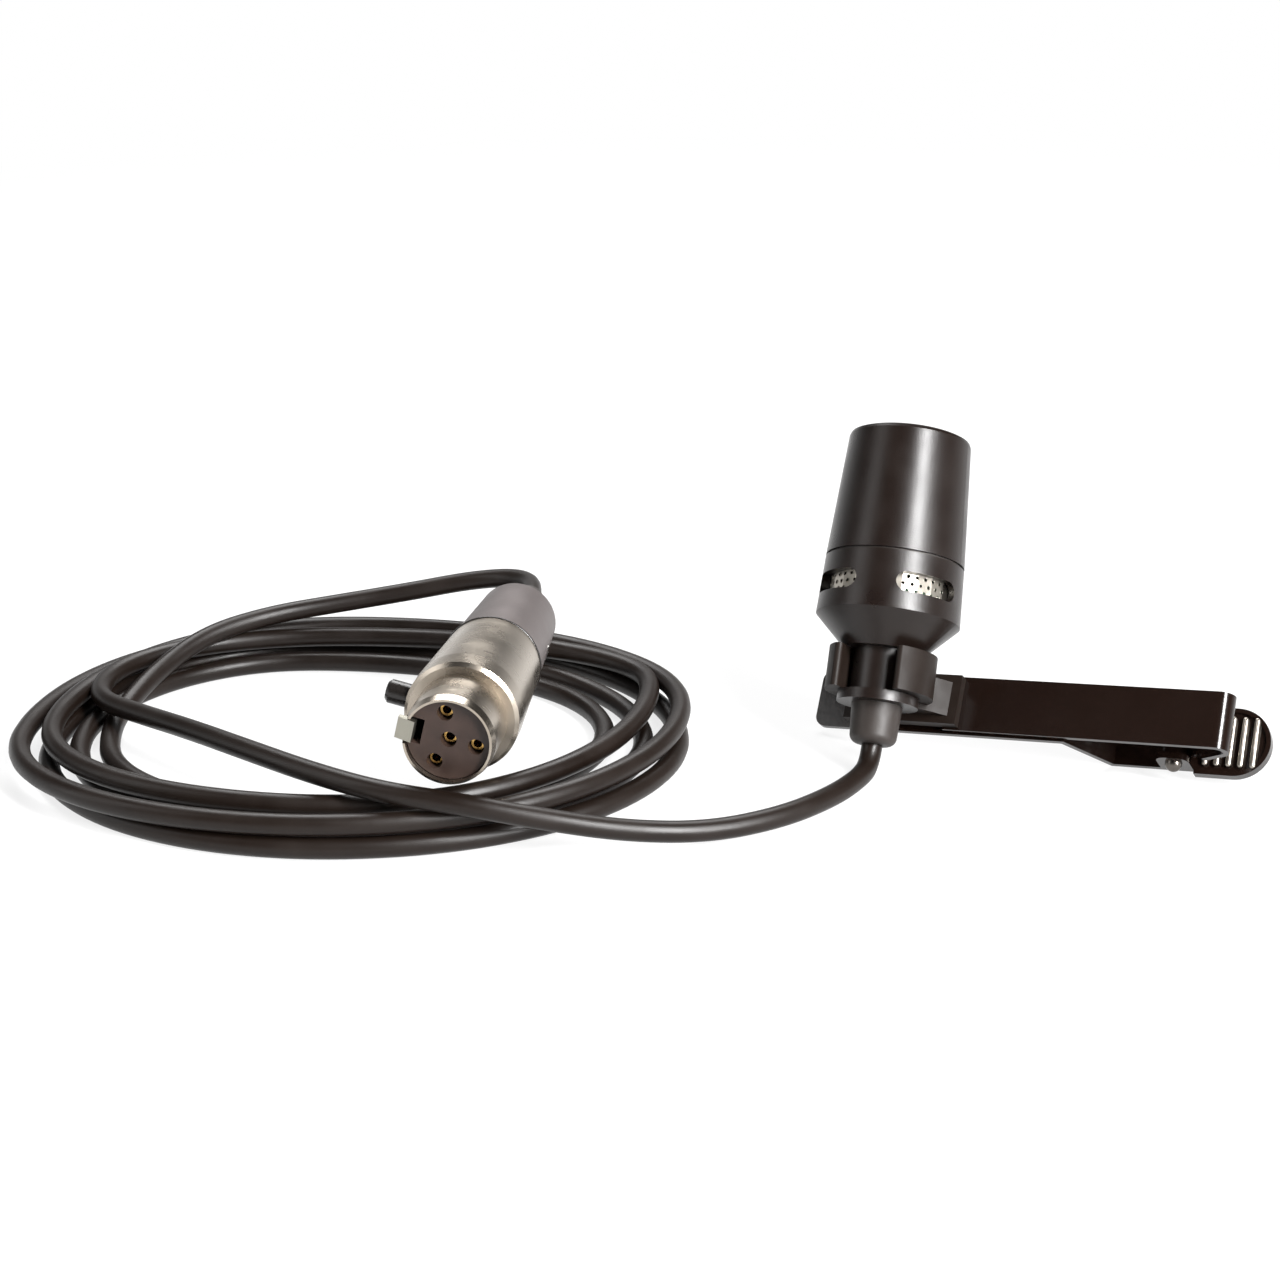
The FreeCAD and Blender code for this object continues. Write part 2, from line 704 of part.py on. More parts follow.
def make_holder_and_bar():
    """Build the snap holder and the tie bar with its rolled hinge knuckle."""
    outer = S.neck_radius + S.seat_gap + S.holder_wall
    bore = S.neck_radius + S.seat_gap
    holder = piece("clip_holder", "Snap holder", "clip_frame")
    plate = draw(holder, "plate_outline", "XZ",
                 [box(-S.holder_plate_left, 0, S.holder_plate_right, S.holder_plate_thickness)])
    pad(holder, "plate", plate, S.holder_plate_width, both=True)
    saddle = draw(holder, "saddle_outline", "XZ", [[
        (-S.saddle_left, S.holder_plate_thickness), (S.saddle_right, S.holder_plate_thickness),
        (S.saddle_top, S.holder_saddle_height), (-S.saddle_top, S.holder_saddle_height),
    ]])
    pad(holder, "saddle", saddle, S.holder_saddle_width, both=True)

    def on_collar(name, loops):
        return draw(holder, name, "XZ", loops, lift=-S.holder_rise, tilt=S.holder_tilt,
                    along=S.holder_reach)

    collar_height = S.neck_length - S.seat_gap * 2
    pad(holder, "collar", on_collar("collar_outline", [("circle", 0, 0, outer)]),
        collar_height, both=True)
    cut(holder, "bore", on_collar("bore_outline", [("circle", 0, 0, bore)]),
        S.neck_length * 3, both=True)
    cut(holder, "mouth", on_collar("mouth_outline", [
        box(-S.holder_mouth / 2, 0, S.holder_mouth / 2, outer + 1)]),
        S.neck_length * 3, both=True)
    # The saddle is cut back round the flange under the neck.
    away = collar_height / 2
    relief = draw(holder, "flange_relief_outline", "XZ",
                  [("circle", 0, 0, S.flange_radius + S.relief_gap)],
                  lift=-S.holder_rise + away * cosine(S.holder_tilt), tilt=S.holder_tilt,
                  along=S.holder_reach - away * sine(S.holder_tilt))
    cut(holder, "flange_relief", relief, S.neck_length, back=True)
    axis = Rotation(Vector(1, 0, 0), SIZES["holder_tilt"]).multVec(Vector(0, 1, 0))
    mouth = SIZES["holder_mouth"] / 2

    def at_tip(middle, edge):
        if abs(abs(middle.x) - mouth) > 1e-3 or len(edge.Vertexes) != 2:
            return False
        run = edge.Vertexes[1].Point - edge.Vertexes[0].Point
        return abs(abs(run.normalize().dot(axis)) - 1) < 1e-3 and middle.z > SIZES["holder_reach"]

    round_edges(holder, "tip_rounds", S.holder_tip_round, at_tip)
    pegs = [("circle", S.peg_spacing * side, 0, S.peg_radius) for side in (-1, 1)]
    pad(holder, "pegs", draw(holder, "peg_outline", "XY", pegs), S.bar_sheet, back=True)

    deep = S.bend_radius
    reach, lean_x, lean_z = leaf_line()
    bend_in = deep - S.bar_sheet

    def off_bend(radius, along=0):
        """Return a point at a radius from the bend, some way down the leaf."""
        return (S.bar_end + lean_z * radius - lean_x * along,
                -deep - lean_x * radius - lean_z * along)

    def off_pin(distance, along=0):
        """Return a point behind the pin's axis, some way up the leaf."""
        return (pin_at + lean_z * distance + lean_x * along,
                -S.pin_depth - lean_x * distance + lean_z * along)

    bore = S.pin_radius + S.pin_clearance
    knuckle = bore + S.bar_sheet
    leaf = reach - S.knuckle_neck
    bar = piece("tie_bar", "Tie bar", "clip_frame")
    tongue = draw(bar, "tongue_outline", "XZ",
                  [box(-S.tongue_end, -S.bar_sheet, S.bar_start, 0)])
    pad(bar, "tongue", tongue, S.tongue_width, both=True)
    sheet = draw(bar, "sheet_outline", "XZ", [[
        (S.bar_start, -S.bar_sheet), (S.bar_end, -S.bar_sheet, -bend_in),
        off_bend(bend_in), off_bend(bend_in, leaf), off_bend(deep, leaf),
        off_bend(deep) + (deep,), (S.bar_end, 0), (S.bar_start, 0),
    ]])
    pad(bar, "sheet", sheet, S.bar_width, both=True)
    arms = draw(bar, "arm_outline", "XZ",
                [[off_pin(bore), off_pin(knuckle), off_pin(knuckle, S.knuckle_neck),
                  off_pin(bore, S.knuckle_neck)]])
    pad(bar, "arms", arms, S.knuckle_width, both=True)
    curl = draw(bar, "knuckle_outline", "XZ", [
        ("circle", pin_at, -S.pin_depth, knuckle), ("circle", pin_at, -S.pin_depth, bore)])
    pad(bar, "knuckle", curl, S.knuckle_width, both=True)
    gap = draw(bar, "spring_gap_outline", "XZ", [
        [off_pin(-knuckle - 0.3, -knuckle - 0.3), off_pin(knuckle + 0.3, -knuckle - 0.3),
         off_pin(knuckle + 0.3, S.knuckle_neck), off_pin(-knuckle - 0.3, S.knuckle_neck)]])
    cut(bar, "spring_slot", gap, S.spring_gap, both=True)
    holes = [("circle", S.peg_spacing * side, 0, S.peg_radius + S.seat_gap)
             for side in (-1, 1)]
    cut(bar, "peg_holes", draw(bar, "peg_marks", "XY", holes), S.bar_sheet)


def make_lever():
    """Build the rear lever, its hinge pin and the torsion spring."""
    front = -S.bar_sheet - S.jaw_gap
    handle = -S.handle_depth
    pad_start = pin_at + S.pad_reach
    handle_end = pin_at + S.handle_reach
    thick = S.lever_sheet
    jog_top = S.jog_start + S.jog_mitre
    jog_foot = jog_top + S.jog_length
    lever = piece("lever", "Rear lever", "clip_frame")
    plate = draw(lever, "plate_outline", "XZ", [[
        (-S.jaw_left, front - thick), (jog_top - S.jog_mitre, front - thick),
        (jog_foot - S.jog_mitre, handle - thick), (pad_start, handle - thick),
        (pad_start, handle), (jog_foot, handle), (jog_top, front), (-S.jaw_left, front),
    ]])
    pad(lever, "plate", plate, S.lever_width, both=True)
    left = -SIZES["jaw_left"]
    round_edges(lever, "jaw_corners", S.jaw_corner,
                lambda m, e: abs(m.x - left) < 1e-3 and e.Length < SIZES["lever_sheet"] + 0.01)
    half = S.pad_width / 2
    tip = handle_end - half
    thumb = draw(lever, "pad_outline", "XY", [[
        (pad_start, -half), (tip, -half, half), (handle_end, 0, half), (tip, half),
        (pad_start, half)]], lift=handle - thick)
    pad(lever, "thumb_pad", thumb, thick)
    inner = half - S.rim_width
    rim = draw(lever, "rim_outline", "XY", [[
        (pad_start, -half), (tip, -half, half), (handle_end, 0, half), (tip, half),
        (pad_start, half), (pad_start, inner), (tip, inner, -inner),
        (handle_end - S.rim_width, 0, -inner), (tip, -inner), (pad_start, -inner)]],
        lift=handle - thick - S.rim_height)
    pad(lever, "rim", rim, thick + S.rim_height * 2)
    for index in range(SIZES["rib_count"]):
        at = pad_start + S.rib_first + S.rib_pitch * index
        rib = draw(lever, f"rib_outline_{index + 1}", "XY",
                   [box(at, -S.rib_reach, at + S.rib_width, S.rib_reach)],
                   lift=handle - thick - S.rib_height)
        pad(lever, f"rib_{index + 1}", rib, thick + S.rib_height * 2)
    ear = S.ear_length / 2
    ear_top = S.ear_front - S.pin_depth
    ears = draw(lever, "ear_outline", "XZ", [[
        (pin_at - ear, handle), (pin_at + ear, handle),
        (pin_at + ear, ear_top - S.ear_round, S.ear_round),
        (pin_at + ear - S.ear_round, ear_top), (pin_at - ear + S.ear_round, ear_top,
                                                  S.ear_round),
        (pin_at - ear, ear_top - S.ear_round)]])
    pad(lever, "ears", ears, S.lever_width, both=True)
    between = draw(lever, "ear_gap_outline", "XZ",
                   [box(pin_at - ear - 0.1, handle, pin_at + ear + 0.1, ear_top + 0.1)])
    cut(lever, "ear_gap", between, S.lever_width - thick * 2, both=True)
    hole = draw(lever, "pin_hole_outline", "XZ",
                [("circle", pin_at, -S.pin_depth, S.pin_radius)])
    cut(lever, "pin_hole", hole, S.lever_width * 2, both=True)

    side = S.lever_width / 2
    pin = piece("hinge_pin", "Hinge pin", "pin_frame")
    turned(pin, "rivet", [
        (0, -side - S.pin_head_radius, S.pin_head_radius), (S.pin_head_radius, -side),
        (S.pin_radius, -side), (S.pin_radius, side),
        (S.pin_head_radius, side, S.pin_head_radius), (0, side + S.pin_head_radius),
    ])


def spring_points():
    """Return the middle line of the torsion spring, in the clip frame."""
    pin_x, pin_z = float(pin_at), -SIZES["pin_depth"]
    radius, turns = SIZES["spring_radius"], SIZES["spring_turns"]
    touch = SIZES["spring_wire"] / 2 + SIZES["spring_rest_gap"]
    half = turns * SIZES["spring_pitch"] / 2 + SIZES["spring_pitch"] / 4
    # The upper leg passes under the corner where the bar's leaf meets its knuckle arms.
    lean_x, lean_z = (float(share) for share in leaf_line()[1:])
    knuckle = SIZES["pin_radius"] + SIZES["pin_clearance"] + SIZES["bar_sheet"]
    corner_x = lean_z * knuckle + lean_x * SIZES["knuckle_neck"]
    corner_z = -lean_x * knuckle + lean_z * SIZES["knuckle_neck"]
    up = math.atan2(corner_z, corner_x) - math.asin(
        (radius + touch) / math.hypot(corner_x, corner_z))
    # The tip of the lower leg rests on the lever's plate.
    leg = SIZES["spring_lower_leg"]
    drop = SIZES["handle_depth"] - SIZES["pin_depth"] - touch
    down = math.acos(drop / math.hypot(radius, leg)) - math.atan2(leg, radius)
    start = math.pi / 2 + up
    sweep_angle = 2 * math.pi * turns + (down - math.pi / 2 + 2 * math.pi) - start
    points = []
    for step in range(4, 0, -1):
        far = SIZES["spring_upper_leg"] * step / 4
        points.append(Vector(pin_x + radius * math.cos(start) + far * math.cos(up), -half,
                             pin_z + radius * math.sin(start) + far * math.sin(up)))
    count = 12 * turns + 6
    for step in range(count + 1):
        share = step / count
        angle = start + sweep_angle * share
        points.append(Vector(pin_x + radius * math.cos(angle), -half + 2 * half * share,
                             pin_z + radius * math.sin(angle)))
    end = start + sweep_angle
    for step in range(1, 4):
        far = leg * step / 3
        points.append(Vector(pin_x + radius * math.cos(end) + far * math.cos(down), half,
                             pin_z + radius * math.sin(end) + far * math.sin(down)))
    return points


def make_plug():
    """Build the mini connector."""
    back = S.cover_end - S.cover_nose_length
    wall = back - S.cover_back_wall
    gasket_end = S.barrel_end + S.gasket_thickness
    flange = S.rear_bore - S.seat_gap
    insert = S.barrel_bore - S.seat_gap
    half_slot = S.latch_width / 2 + S.latch_clearance
    arm_top = S.latch_inner + S.latch_sheet

    barrel = piece("plug_barrel", "Connector barrel", "plug_frame")
    turned(barrel, "tube", [
        (S.barrel_bore, 0), (S.barrel_radius - S.nose_taper_depth, 0),
        (S.barrel_radius, S.nose_taper), (S.barrel_radius, S.barrel_nose),
        (S.body_radius - S.body_chamfer, S.barrel_nose),
        (S.body_radius, S.barrel_nose + S.body_chamfer),
        (S.body_radius, S.barrel_nose + S.body_land),
        (S.body_rear_radius, S.barrel_end), (S.rear_bore, S.barrel_end),
        (S.rear_bore, S.insert_seat), (S.barrel_bore, S.insert_seat),
    ])
    notch = draw(barrel, "hook_slot_outline", "XY",
                 [box(S.latch_inner, -half_slot, S.body_radius, half_slot)])
    cut(barrel, "hook_slot", notch, S.latch_front + S.latch_hook_length + S.latch_clearance,
        back=True)
    window = draw(barrel, "button_hole_outline", "YZ",
                  [("circle", 0, S.button_at, S.button_radius + S.button_hole_clearance)])
    cut(barrel, "button_hole", window, S.body_radius + 1, back=True)

    core = piece("plug_insert", "Contact insert", "plug_frame")
    turned(core, "block", [
        (0, S.insert_face), (insert, S.insert_face), (insert, S.insert_seat),
        (flange, S.insert_seat), (flange, S.insert_end), (0, S.insert_end),
    ])
    spots = [(0, 0), (-S.contact_circle, 0)]
    for side in (-1, 1):
        spots.append((S.contact_circle * cosine(S.contact_side_angle),
                      S.contact_circle * sine(S.contact_side_angle) * side))
    narrow = S.insert_end - S.insert_seat
    wide = draw(core, "socket_marks", "XY",
                [("circle", x, y, S.contact_hole_radius) for x, y in spots], lift=S.insert_face)
    cut(core, "sockets", wide, S.insert_end - S.insert_face - narrow, back=True)
    slim = draw(core, "contact_marks", "XY",
                [("circle", x, y, S.contact_radius) for x, y in spots], lift=S.insert_end)
    cut(core, "contact_holes", slim, narrow)
    channel = draw(core, "channel_outline", "XY",
                   [box(S.latch_channel_floor, -half_slot, S.body_radius, half_slot)],
                   lift=S.insert_face)
    cut(core, "channel", channel, S.insert_end, back=True)
    pivot = draw(core, "pivot_mark", "XZ",
                 [("circle", S.latch_inner + S.latch_sheet / 2, S.latch_pivot,
                   S.latch_pin_radius)])
    cut(core, "pivot_hole", pivot, half_slot * 2 + S.pivot_bearing * 2, both=True)

    for index, (x, y) in enumerate(spots, start=1):
        place = frame(f"contact_{index}_frame", x, y, 0, [], "plug_frame")
        contact = piece(f"contact_{index}", f"Socket contact {index}", place)
        face = S.insert_face + S.contact_recess
        turned(contact, "socket", [
            (S.contact_bore, face), (S.contact_radius, face),
            (S.contact_radius, S.insert_end + S.contact_tail),
            (0, S.insert_end + S.contact_tail), (0, S.insert_seat), (S.contact_bore, S.insert_seat),
        ])

    gasket = piece("plug_gasket", "Connector gasket", "plug_frame")
    turned(gasket, "ring", ring(S.rear_bore, S.barrel_end,
                                S.body_rear_radius - S.gasket_recess, gasket_end))

    hole = S.plug_boot_radius + S.seat_gap
    cover = piece("plug_cover", "Connector cover", "plug_frame")
    turned(cover, "shell", [
        (S.cover_bore, S.insert_end), (flange, S.insert_end), (flange, gasket_end),
        (S.cover_front_radius, gasket_end), (S.cover_rear_radius, back),
        (S.cover_nose_radius, back), (S.cover_nose_radius, S.cover_end), (hole, S.cover_end),
        (hole, wall), (S.cover_bore, wall),
    ])
    tap = draw(cover, "screw_hole_outline", "YZ",
               [("circle", 0, S.plug_screw_at, S.plug_screw_radius + S.seat_gap)])
    cut(cover, "screw_hole", tap, S.body_radius + 1)

    shaft = piece("plug_screw", "Set screw", "screw_frame")
    head = S.cover_bore + S.plug_screw_length
    turned(shaft, "shaft", ring(0, S.cover_bore, S.plug_screw_radius, head))
    slot = draw(shaft, "slot_outline", "XY",
                [box(-S.plug_screw_radius, -S.screw_slot / 2, S.plug_screw_radius,
                     S.screw_slot / 2)], lift=head)
    cut(shaft, "slot", slot, S.screw_slot)

    boot_end = S.cover_end + S.plug_boot_length
    boot = piece("plug_boot", "Connector strain relief", "plug_frame")
    turned(boot, "boot", [
        (cord_bore, wall - S.boot_collar_length), (S.plug_boot_collar, wall - S.boot_collar_length),
        (S.plug_boot_collar, wall), (S.plug_boot_radius, wall),
        (S.plug_boot_radius, S.cover_end), (S.plug_boot_tip, boot_end), (cord_bore, boot_end),
    ])
    collet_end = wall - S.boot_collar_length
    collet = piece("cord_collet", "Cord collet", "plug_frame")
    turned(collet, "sleeve", ring(cord_bore, collet_end - S.collet_length, S.collet_radius,
                                  collet_end))
    inner_cord = piece("plug_cord", "Cord inside the connector", "plug_frame")
    turned(inner_cord, "cord", ring(0, collet_end - S.collet_length - S.cord_beyond,
                                    S.cord_diameter / 2, boot_end))

    middle = S.latch_inner + S.latch_sheet / 2
    arm = piece("latch_arm", "Latch arm", "plug_frame")
    blade = draw(arm, "blade_outline", "XZ", [[
        (S.latch_inner, S.latch_front), (S.latch_hook_top, S.latch_front + S.latch_hook_slope),
        (S.latch_hook_top, S.latch_front + S.latch_hook_length),
        (arm_top, S.latch_front + S.latch_hook_length), (arm_top, S.latch_pivot),
        (S.latch_inner, S.latch_pivot)]])
    pad(arm, "blade", blade, S.latch_width, both=True)
    eye = draw(arm, "eye_outline", "XZ", [("circle", middle, S.latch_pivot, S.latch_eye_radius)])
    pad(arm, "eye", eye, S.latch_width, both=True)
    bore = draw(arm, "eye_bore_outline", "XZ",
                [("circle", middle, S.latch_pivot, S.latch_pin_radius + S.seat_gap)])
    cut(arm, "eye_bore", bore, S.latch_width * 2, both=True)

    button = piece("latch_button", "Latch button", "plug_frame")
    post = draw(button, "post_outline", "YZ", [("circle", 0, S.button_at, S.button_radius)],
                lift=arm_top)
    pad(button, "post", post, S.button_top - arm_top)
    round_edges(button, "top_bevel", S.button_round,
                lambda m, e: abs(m.x - SIZES["button_top"]) < 1e-3, "Chamfer")

    pin = piece("latch_pin", "Latch pin", "plug_frame")
    pad(pin, "shaft", draw(pin, "shaft_outline", "XZ",
                           [("circle", middle, S.latch_pivot, S.latch_pin_radius)]),
        half_slot * 2 + S.pivot_bearing * 2, both=True)


# The cord: free stretches are straight runs joined by arcs, the coil is one tube.


def arc_edge(start, middle, end):
    """Return an arc through three points."""
    return Part.Arc(start, middle, end).toShape()


def sweep(name, label, edges, radius, sides=8):
    """Sweep a many-sided section along edges and add the tube as an object."""
    wire = Part.Wire(edges)
    first = edges[0]
    start = first.valueAt(first.FirstParameter)
    ahead = first.tangentAt(first.FirstParameter).normalize()
    across = ahead.cross(Vector(0, 0, 1)).normalize()
    corners = [start + Rotation(ahead, 360 * (index + 0.5) / sides).multVec(across) * radius
               for index in range(sides)]
    section = Part.makePolygon(corners + corners[:1])
    tube = wire.makePipeShell([section], True, False)
    if tube.Volume < 0:
        tube.reverse()
    area = sides / 2 * radius * radius * math.sin(2 * math.pi / sides)
    expected = area * wire.Length
    if not tube.isValid() or abs(tube.Volume / expected - 1) > 0.01:
        raise RuntimeError(f"{name}: valid {tube.isValid()}, {tube.Volume:.1f} for {expected:.1f}")
    item = doc.addObject("Part::Feature", name)
    item.Label = label
    item.Shape = tube
    print(f"{name}: {wire.Length:.1f} mm long, volume {tube.Volume:.1f} of {expected:.1f}")
    return item


def cord_run(name, label, points, shares=None):
    """Lay a cord along points, with an arc at each corner."""
    edges = []
    start = points[0]
    radii = []
    for index in range(1, len(points) - 1):
        before, corner, after = points[index - 1:index + 2]
        into, out = (corner - before).normalize(), (after - corner).normalize()
        half = into.getAngle(out) / 2
        share = (shares or {}).get(index, 0.45)
        reach = share * min((corner - before).Length, (after - corner).Length)
        radius = reach / math.tan(half)
        radii.append(round(radius, 1))
        first, last = corner - into * reach, corner + out * reach
        inward = (out - into).normalize()
        middle = corner + inward * (radius / math.cos(half) - radius)
        edges.append(Part.LineSegment(start, first).toShape())
        edges.append(arc_edge(first, middle, last))
        start = last
    edges.append(Part.LineSegment(start, points[-1]).toShape())
    print(f"{name}: bend radii {radii}")
    return sweep(name, label, edges, SIZES["cord_diameter"] / 2)


def coil_point(turn):
    """Return the point of the coil's middle line after some turns."""
    out, reverse = SIZES["coil_turns_out"], SIZES["coil_turns_out"] + 0.5
    low = SIZES["cord_diameter"] / 2
    high = low + SIZES["coil_layer"]
    if turn <= out:
        inward, height = turn, high
    elif turn <= reverse:
        inward = out
        height = low + (high - low) * (1 + math.cos(math.pi * (turn - out) / 0.5)) / 2
    else:
        inward, height = out + reverse - turn, low
    angle = math.radians(-90 - 360 * turn)
    shrink = SIZES["coil_pitch"] * inward
    return Vector(SIZES["coil_x"] + (SIZES["coil_half_length"] - shrink) * math.cos(angle),
                  SIZES["coil_y"] + (SIZES["coil_half_width"] - shrink) * math.sin(angle), height)


def coil_heading(turn):
    """Return the direction of the coil's middle line, taken on one side at its joins."""
    step = 1e-4
    return (coil_point(turn + step) - coil_point(turn - step)).normalize()


def biarc(start, heading, end, heading_end):
    """Return two arcs that join two points with the given headings."""
    gap = end - start
    both = heading + heading_end
    lean = 2 * (1 - heading.dot(heading_end))
    reach = (-gap.dot(both) + math.sqrt(gap.dot(both) ** 2 + lean * gap.dot(gap))) / lean
    corner_1, corner_2 = start + heading * reach, end - heading_end * reach
    joint = (corner_1 + corner_2) * 0.5
    edges = []
    for first, corner, last in ((start, corner_1, joint), (joint, corner_2, end)):
        half = (corner - first).getAngle(last - corner) / 2
        weight = math.cos(half)
        middle = (first + last + corner * (2 * weight)) * (1 / (2 + 2 * weight))
        edges.append(arc_edge(first, middle, last))
    return edges


def lay_cord():
    """Lay the lead, the coil and the tail."""
    step = 0.25
    count = round(SIZES["coil_turns"] / step)
    turns = [step * index for index in range(count + 1)]
    straight = SIZES["cord_diameter"]
    first, last = coil_point(0), coil_point(turns[-1])
    into, out = coil_heading(0), coil_heading(turns[-1])
    edges = [Part.LineSegment(first - into * straight, first).toShape()]
    for index in range(count):
        a, b = turns[index], turns[index + 1]
        edges += biarc(coil_point(a), coil_heading(a), coil_point(b), coil_heading(b))
    edges.append(Part.LineSegment(last, last + out * straight).toShape())
    sweep("coil", "Coiled cord", edges, SIZES["cord_diameter"] / 2)
    coil_start, coil_end = first - into * straight, last + out * straight

    # The distance between strands, measured on the middle line.
    walk = Part.Wire(edges).discretize(Distance=1.0)
    least = min((walk[i] - walk[j]).Length for i in range(0, len(walk))
                for j in range(i + 12, len(walk)))
    print(f"coil: least gap to itself {least - SIZES['cord_diameter']:.2f} mm")

    mic = doc.getObject("mic_frame").Placement
    leave = mic.multVec(Vector(0, 0, float(boot_foot)))
    down = mic.Rotation.multVec(Vector(0, 0, -1))
    low = SIZES["cord_diameter"] / 2
    landing = leave + down * ((leave.z - low) / -down.z)
    lead = [leave, landing]
    for dx, dy in ((-0.9, -2.5), (-3.6, -6.6), (-8.6, -12.0), (-16.8, -16.2)):
        lead.append(Vector(landing.x + dx, landing.y + dy, low))
    lead.append(Vector(coil_start.x + 15.5, coil_start.y + 1.1, coil_start.z - 1.7))
    lead.append(coil_start - into * 6)
    lead.append(coil_start)
    cord_run("lead", "Cord from the microphone to the coil", lead, {1: 0.6})

    plug = doc.getObject("plug_frame").Placement
    arrive = plug.multVec(Vector(0, 0, SIZES["cover_end"] + SIZES["plug_boot_length"]))
    away = plug.Rotation.multVec(Vector(0, 0, 1))
    tail = [coil_end, coil_end + out * 5]
    for dx, dy, z in ((3.0, 15.5, 1.8), (12.0, 24.2, 2.6), (22.0, 29.3, 3.4), (32.0, 31.3, 4.6),
                      (40.5, 30.5, 6.2)):
        tail.append(Vector(last.x + dx, last.y + dy, z))
    tail.append(arrive + Vector(-3.3, 11.3, -1.9))
    tail.append(arrive + away * 4.8)
    tail.append(arrive)
    cord_run("tail", "Cord from the coil to the connector", tail)


make_capsule()
make_ring_and_base()
make_holder_and_bar()
make_lever()

clip_place = doc.getObject("clip_frame").Placement
line = Part.BSplineCurve()
line.interpolate([clip_place.multVec(p) for p in spring_points()])
sweep("clip_spring", "Torsion spring", [line.toShape()], SIZES["spring_wire"] / 2, 6)

make_plug()
lay_cord()
doc.recompute()

# Check every piece and write it out.

os.makedirs("parts", exist_ok=True)
whole = FreeCAD.BoundBox()
count = 0
for item in doc.Objects:
    if item.isDerivedFrom("PartDesign::Body") or item.TypeId == "Part::Feature":
        shape = item.Shape
        faults = [o.Name for o in getattr(item, "Group", []) if "Invalid" in o.State]
        if faults or not shape.isValid() or len(shape.Solids) != 1 or shape.Volume <= 0:
            raise RuntimeError(f"{item.Name}: {faults} {len(shape.Solids)} solids")
        shape.exportStep(f"parts/{item.Name}.step")
        count += 1
        bounds = shape.optimalBoundingBox(False, False)
        if item.Name in CORD_NODES + ("cord_stub",) and bounds.ZMin < -1e-4:
            raise RuntimeError(f"{item.Name} goes below the surface by {-bounds.ZMin}")
        if item.Name not in CORD_NODES and bounds.XMin > SIZES["coil_x"] + 40:
            whole.add(bounds)
print(f"{count} pieces; microphone and clip {whole}")
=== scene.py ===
"""A lavalier microphone in its snap holder and tie clip, with its coiled cord and mini connector.

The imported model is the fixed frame; this script dresses its pieces, lays the cord along one smooth
curve, and sets the studio and the camera at the photograph's angle. Lengths are in metres unless a
name ends in _mm.
"""

from __future__ import annotations

import logging
import math
from dataclasses import dataclass, field
from enum import Enum

import bpy
from mathutils import Euler, Matrix, Vector

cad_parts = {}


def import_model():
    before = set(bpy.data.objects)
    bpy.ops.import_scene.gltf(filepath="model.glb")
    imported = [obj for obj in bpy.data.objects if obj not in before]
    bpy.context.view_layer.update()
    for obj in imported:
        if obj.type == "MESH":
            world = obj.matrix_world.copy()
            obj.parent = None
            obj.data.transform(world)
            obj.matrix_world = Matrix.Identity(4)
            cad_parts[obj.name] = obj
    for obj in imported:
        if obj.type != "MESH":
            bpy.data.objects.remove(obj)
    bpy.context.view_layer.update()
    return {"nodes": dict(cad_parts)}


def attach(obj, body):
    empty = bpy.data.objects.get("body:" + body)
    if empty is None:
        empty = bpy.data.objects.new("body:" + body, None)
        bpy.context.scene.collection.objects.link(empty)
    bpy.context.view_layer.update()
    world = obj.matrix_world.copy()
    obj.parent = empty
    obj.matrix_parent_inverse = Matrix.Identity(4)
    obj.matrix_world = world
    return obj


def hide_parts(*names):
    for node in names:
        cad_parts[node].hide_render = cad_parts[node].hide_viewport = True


LOG = logging.getLogger("lavalier")
MM = 0.001

GRAIN_DETAIL = (3.0, 5.0)  # octaves of the relief and of the patches
TURNING_DETAIL = (2.0, 4.0)
SCUFF_DETAIL = 6.0
COAT_ROUGHNESS = 0.06
TONE_SPAN = (0.3, 0.7)  # the part of a noise's range that its values mostly fill
SCUFF_TURN = (0.3, 0.5, 0.8)
SCUFF_STRETCH = (1.0, 9.0, 1.0)
SCUFF_FULL = 0.8
FLOOR_DROP = 0.00002  # keeps the floor's face clear of the pieces that rest on it
PAPER_TONE = 0.86
PAPER_ROUGHNESS = 0.9
SENSOR_MM = 36.0
NEAREST_SEEN = 0.005


class Slot(Enum):
    """Slot names of the record's finishes for the pieces made here; nothing in this script gives a
    piece one.
    """

    CORD = "cord_black"
    SCREEN = "screen_nickel"
    LEVER = "gloss_black"
    BUTTON = "button_black"


# ---- shared shader groups


